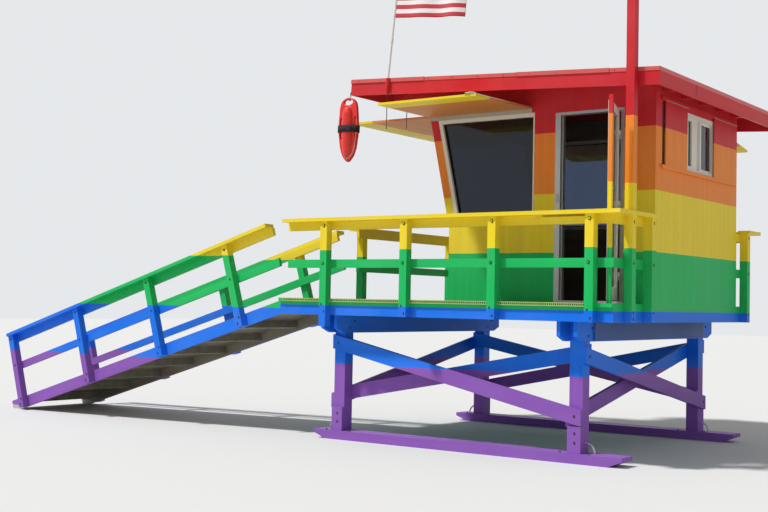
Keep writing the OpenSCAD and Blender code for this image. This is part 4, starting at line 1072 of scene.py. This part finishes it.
def rescue_float():
    """The moulded rescue float: its plate and its body run into one smooth skin, and its strap."""
    low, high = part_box("rescue_float")
    foot = Matrix.Translation(((low.x + high.x)/2, (low.y + high.y)/2, low.z))
    bm = float_plate()
    body = float_core()
    bm.from_mesh(body)
    bpy.data.meshes.remove(body)
    bmesh.ops.recalc_face_normals(bm, faces=bm.faces)
    bmesh.ops.transform(bm, matrix=foot, verts=bm.verts)
    shell = piece("rescue_float_shell", bm, FLOAT_SHELL)
    skin = shell.modifiers.new("skin", "REMESH")
    skin.mode = "VOXEL"
    skin.voxel_size = FLOAT_VOXEL
    made_real(shell)
    bm = bmesh.new()
    bm.from_mesh(shell.data)
    for i in range(7):
        bmesh.ops.smooth_vert(bm, verts=bm.verts, factor=0.5, use_axis_x=True, use_axis_y=True,
                              use_axis_z=True)
    bm.to_mesh(shell.data)
    bm.free()
    shell.data.shade_smooth()
    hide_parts("rescue_float")
    float_strap(foot)


def flag():
    """The flag in its wind-blown waves, on the CAD cloth's place."""
    lean = Matrix.Rotation(math.radians(6), 4, "Y")
    foot_x = ROOF_FRONT + 0.490
    roof_top = ROOF_CORNER[2] + (ROOF_CORNER[0] - foot_x)*math.tan(ROOF_FALL)
    on_pole = Matrix.Translation((foot_x, ROOF_CORNER[1] - 0.022, roof_top - 0.150)) @ lean
    columns, rows = 72, 36
    bm = bmesh.new()
    bmesh.ops.create_grid(bm, x_segments=columns, y_segments=rows, size=0.5)
    uv = bm.loops.layers.uv.new("UVMap")
    for face in bm.faces:
        for loop in face.loops:
            loop[uv].uv = (loop.vert.co.x + 0.5, loop.vert.co.y + 0.5)
    for v in bm.verts:
        s, h = v.co.x + 0.5, v.co.y + 0.5
        wave = FLAG_WAVE*s*math.sin(4*math.pi*s + 0.5*(1 - h)*s)
        up = FLAG_FOOT + FLAG_HEIGHT*h - 0.012*s*(1 - h)*h
        v.co = on_pole @ Vector((0.014 + FLAG_LENGTH*s, wave, up))
    cloth = piece("flag_cloth", bm, FLAG_CLOTH, smooth=True)
    thick = cloth.modifiers.new("thickness", "SOLIDIFY")
    thick.thickness = 0.001
    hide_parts("flag")
    for i in range(columns + 1):
        s = i/columns
    clips = bmesh.new()
    for h in (0.02, 0.3, 0.58):
        place = Matrix.Translation(on_pole @ Vector((0, 0, FLAG_FOOT + h)))
        ring = bmesh.ops.create_cone(clips, cap_ends=True, segments=20, radius1=0.0175,
                                     radius2=0.0175, depth=0.016)["verts"]
        bmesh.ops.transform(clips, matrix=place @ lean, verts=ring)
    collar = bmesh.ops.create_cone(clips, cap_ends=True, segments=24, radius1=0.019, radius2=0.017,
                                   depth=0.05)["verts"]
    bmesh.ops.transform(clips, matrix=on_pole @ Matrix.Translation((0, 0, 0.56)), verts=collar)
    piece("flag_clips", clips, POLE)


def studio():
    """A plain pale floor, a soft key light from the near front and an even sky."""
    bm = bmesh.new()
    bmesh.ops.create_grid(bm, x_segments=1, y_segments=1, size=60)
    mesh = bpy.data.meshes.new("floor")
    bm.to_mesh(mesh)
    bm.free()
    ground = bpy.data.objects.new("floor", mesh)
    material, _, shader, _ = new_material("floor_paper")
    shader.inputs["Base Color"].default_value = (0.72, 0.71, 0.69, 1)
    shader.inputs["Roughness"].default_value = 0.9
    mesh.materials.append(material)
    scene.collection.objects.link(ground)
    world = bpy.data.worlds.new("sky")
    world.use_nodes = True
    scene.world = world
    tree = world.node_tree
    back = tree.nodes["Background"]
    rays = put(tree, "LightPath").outputs
    seen_rays = sums(tree, "MAXIMUM", rays["Is Camera Ray"],
                     sums(tree, "MAXIMUM", rays["Is Glossy Ray"], rays["Is Transmission Ray"]))
    lit, shown = (0.90, 0.94, 1.0, 1), (0.86, 0.88, 0.90, 1)
    feed(tree, back.inputs["Color"], mix(tree, seen_rays, lit, shown))
    extra = times(tree, seen_rays, 0.56)
    feed(tree, back.inputs["Strength"], sums(tree, "ADD", 0.36, extra))
    data = bpy.data.lights.new("key", "SUN")
    data.energy = 3.15
    data.angle = math.radians(5)
    key = bpy.data.objects.new("key", data)
    key.rotation_euler = Vector((0.42, 0.52, -1.05)).to_track_quat("-Z", "Y").to_euler()
    scene.collection.objects.link(key)


scene.view_settings.view_transform = "Standard"
camera()
float_tether()
finish_nodes()
post_bolts()
leg_bolts()
ramp_fixings()
deck_screws()
plank_ends()
roof_flashing()
window_gaskets()
back_window()
back_wall_details()
door_fittings()
shutter_fittings()
flag()
rescue_float()
studio()
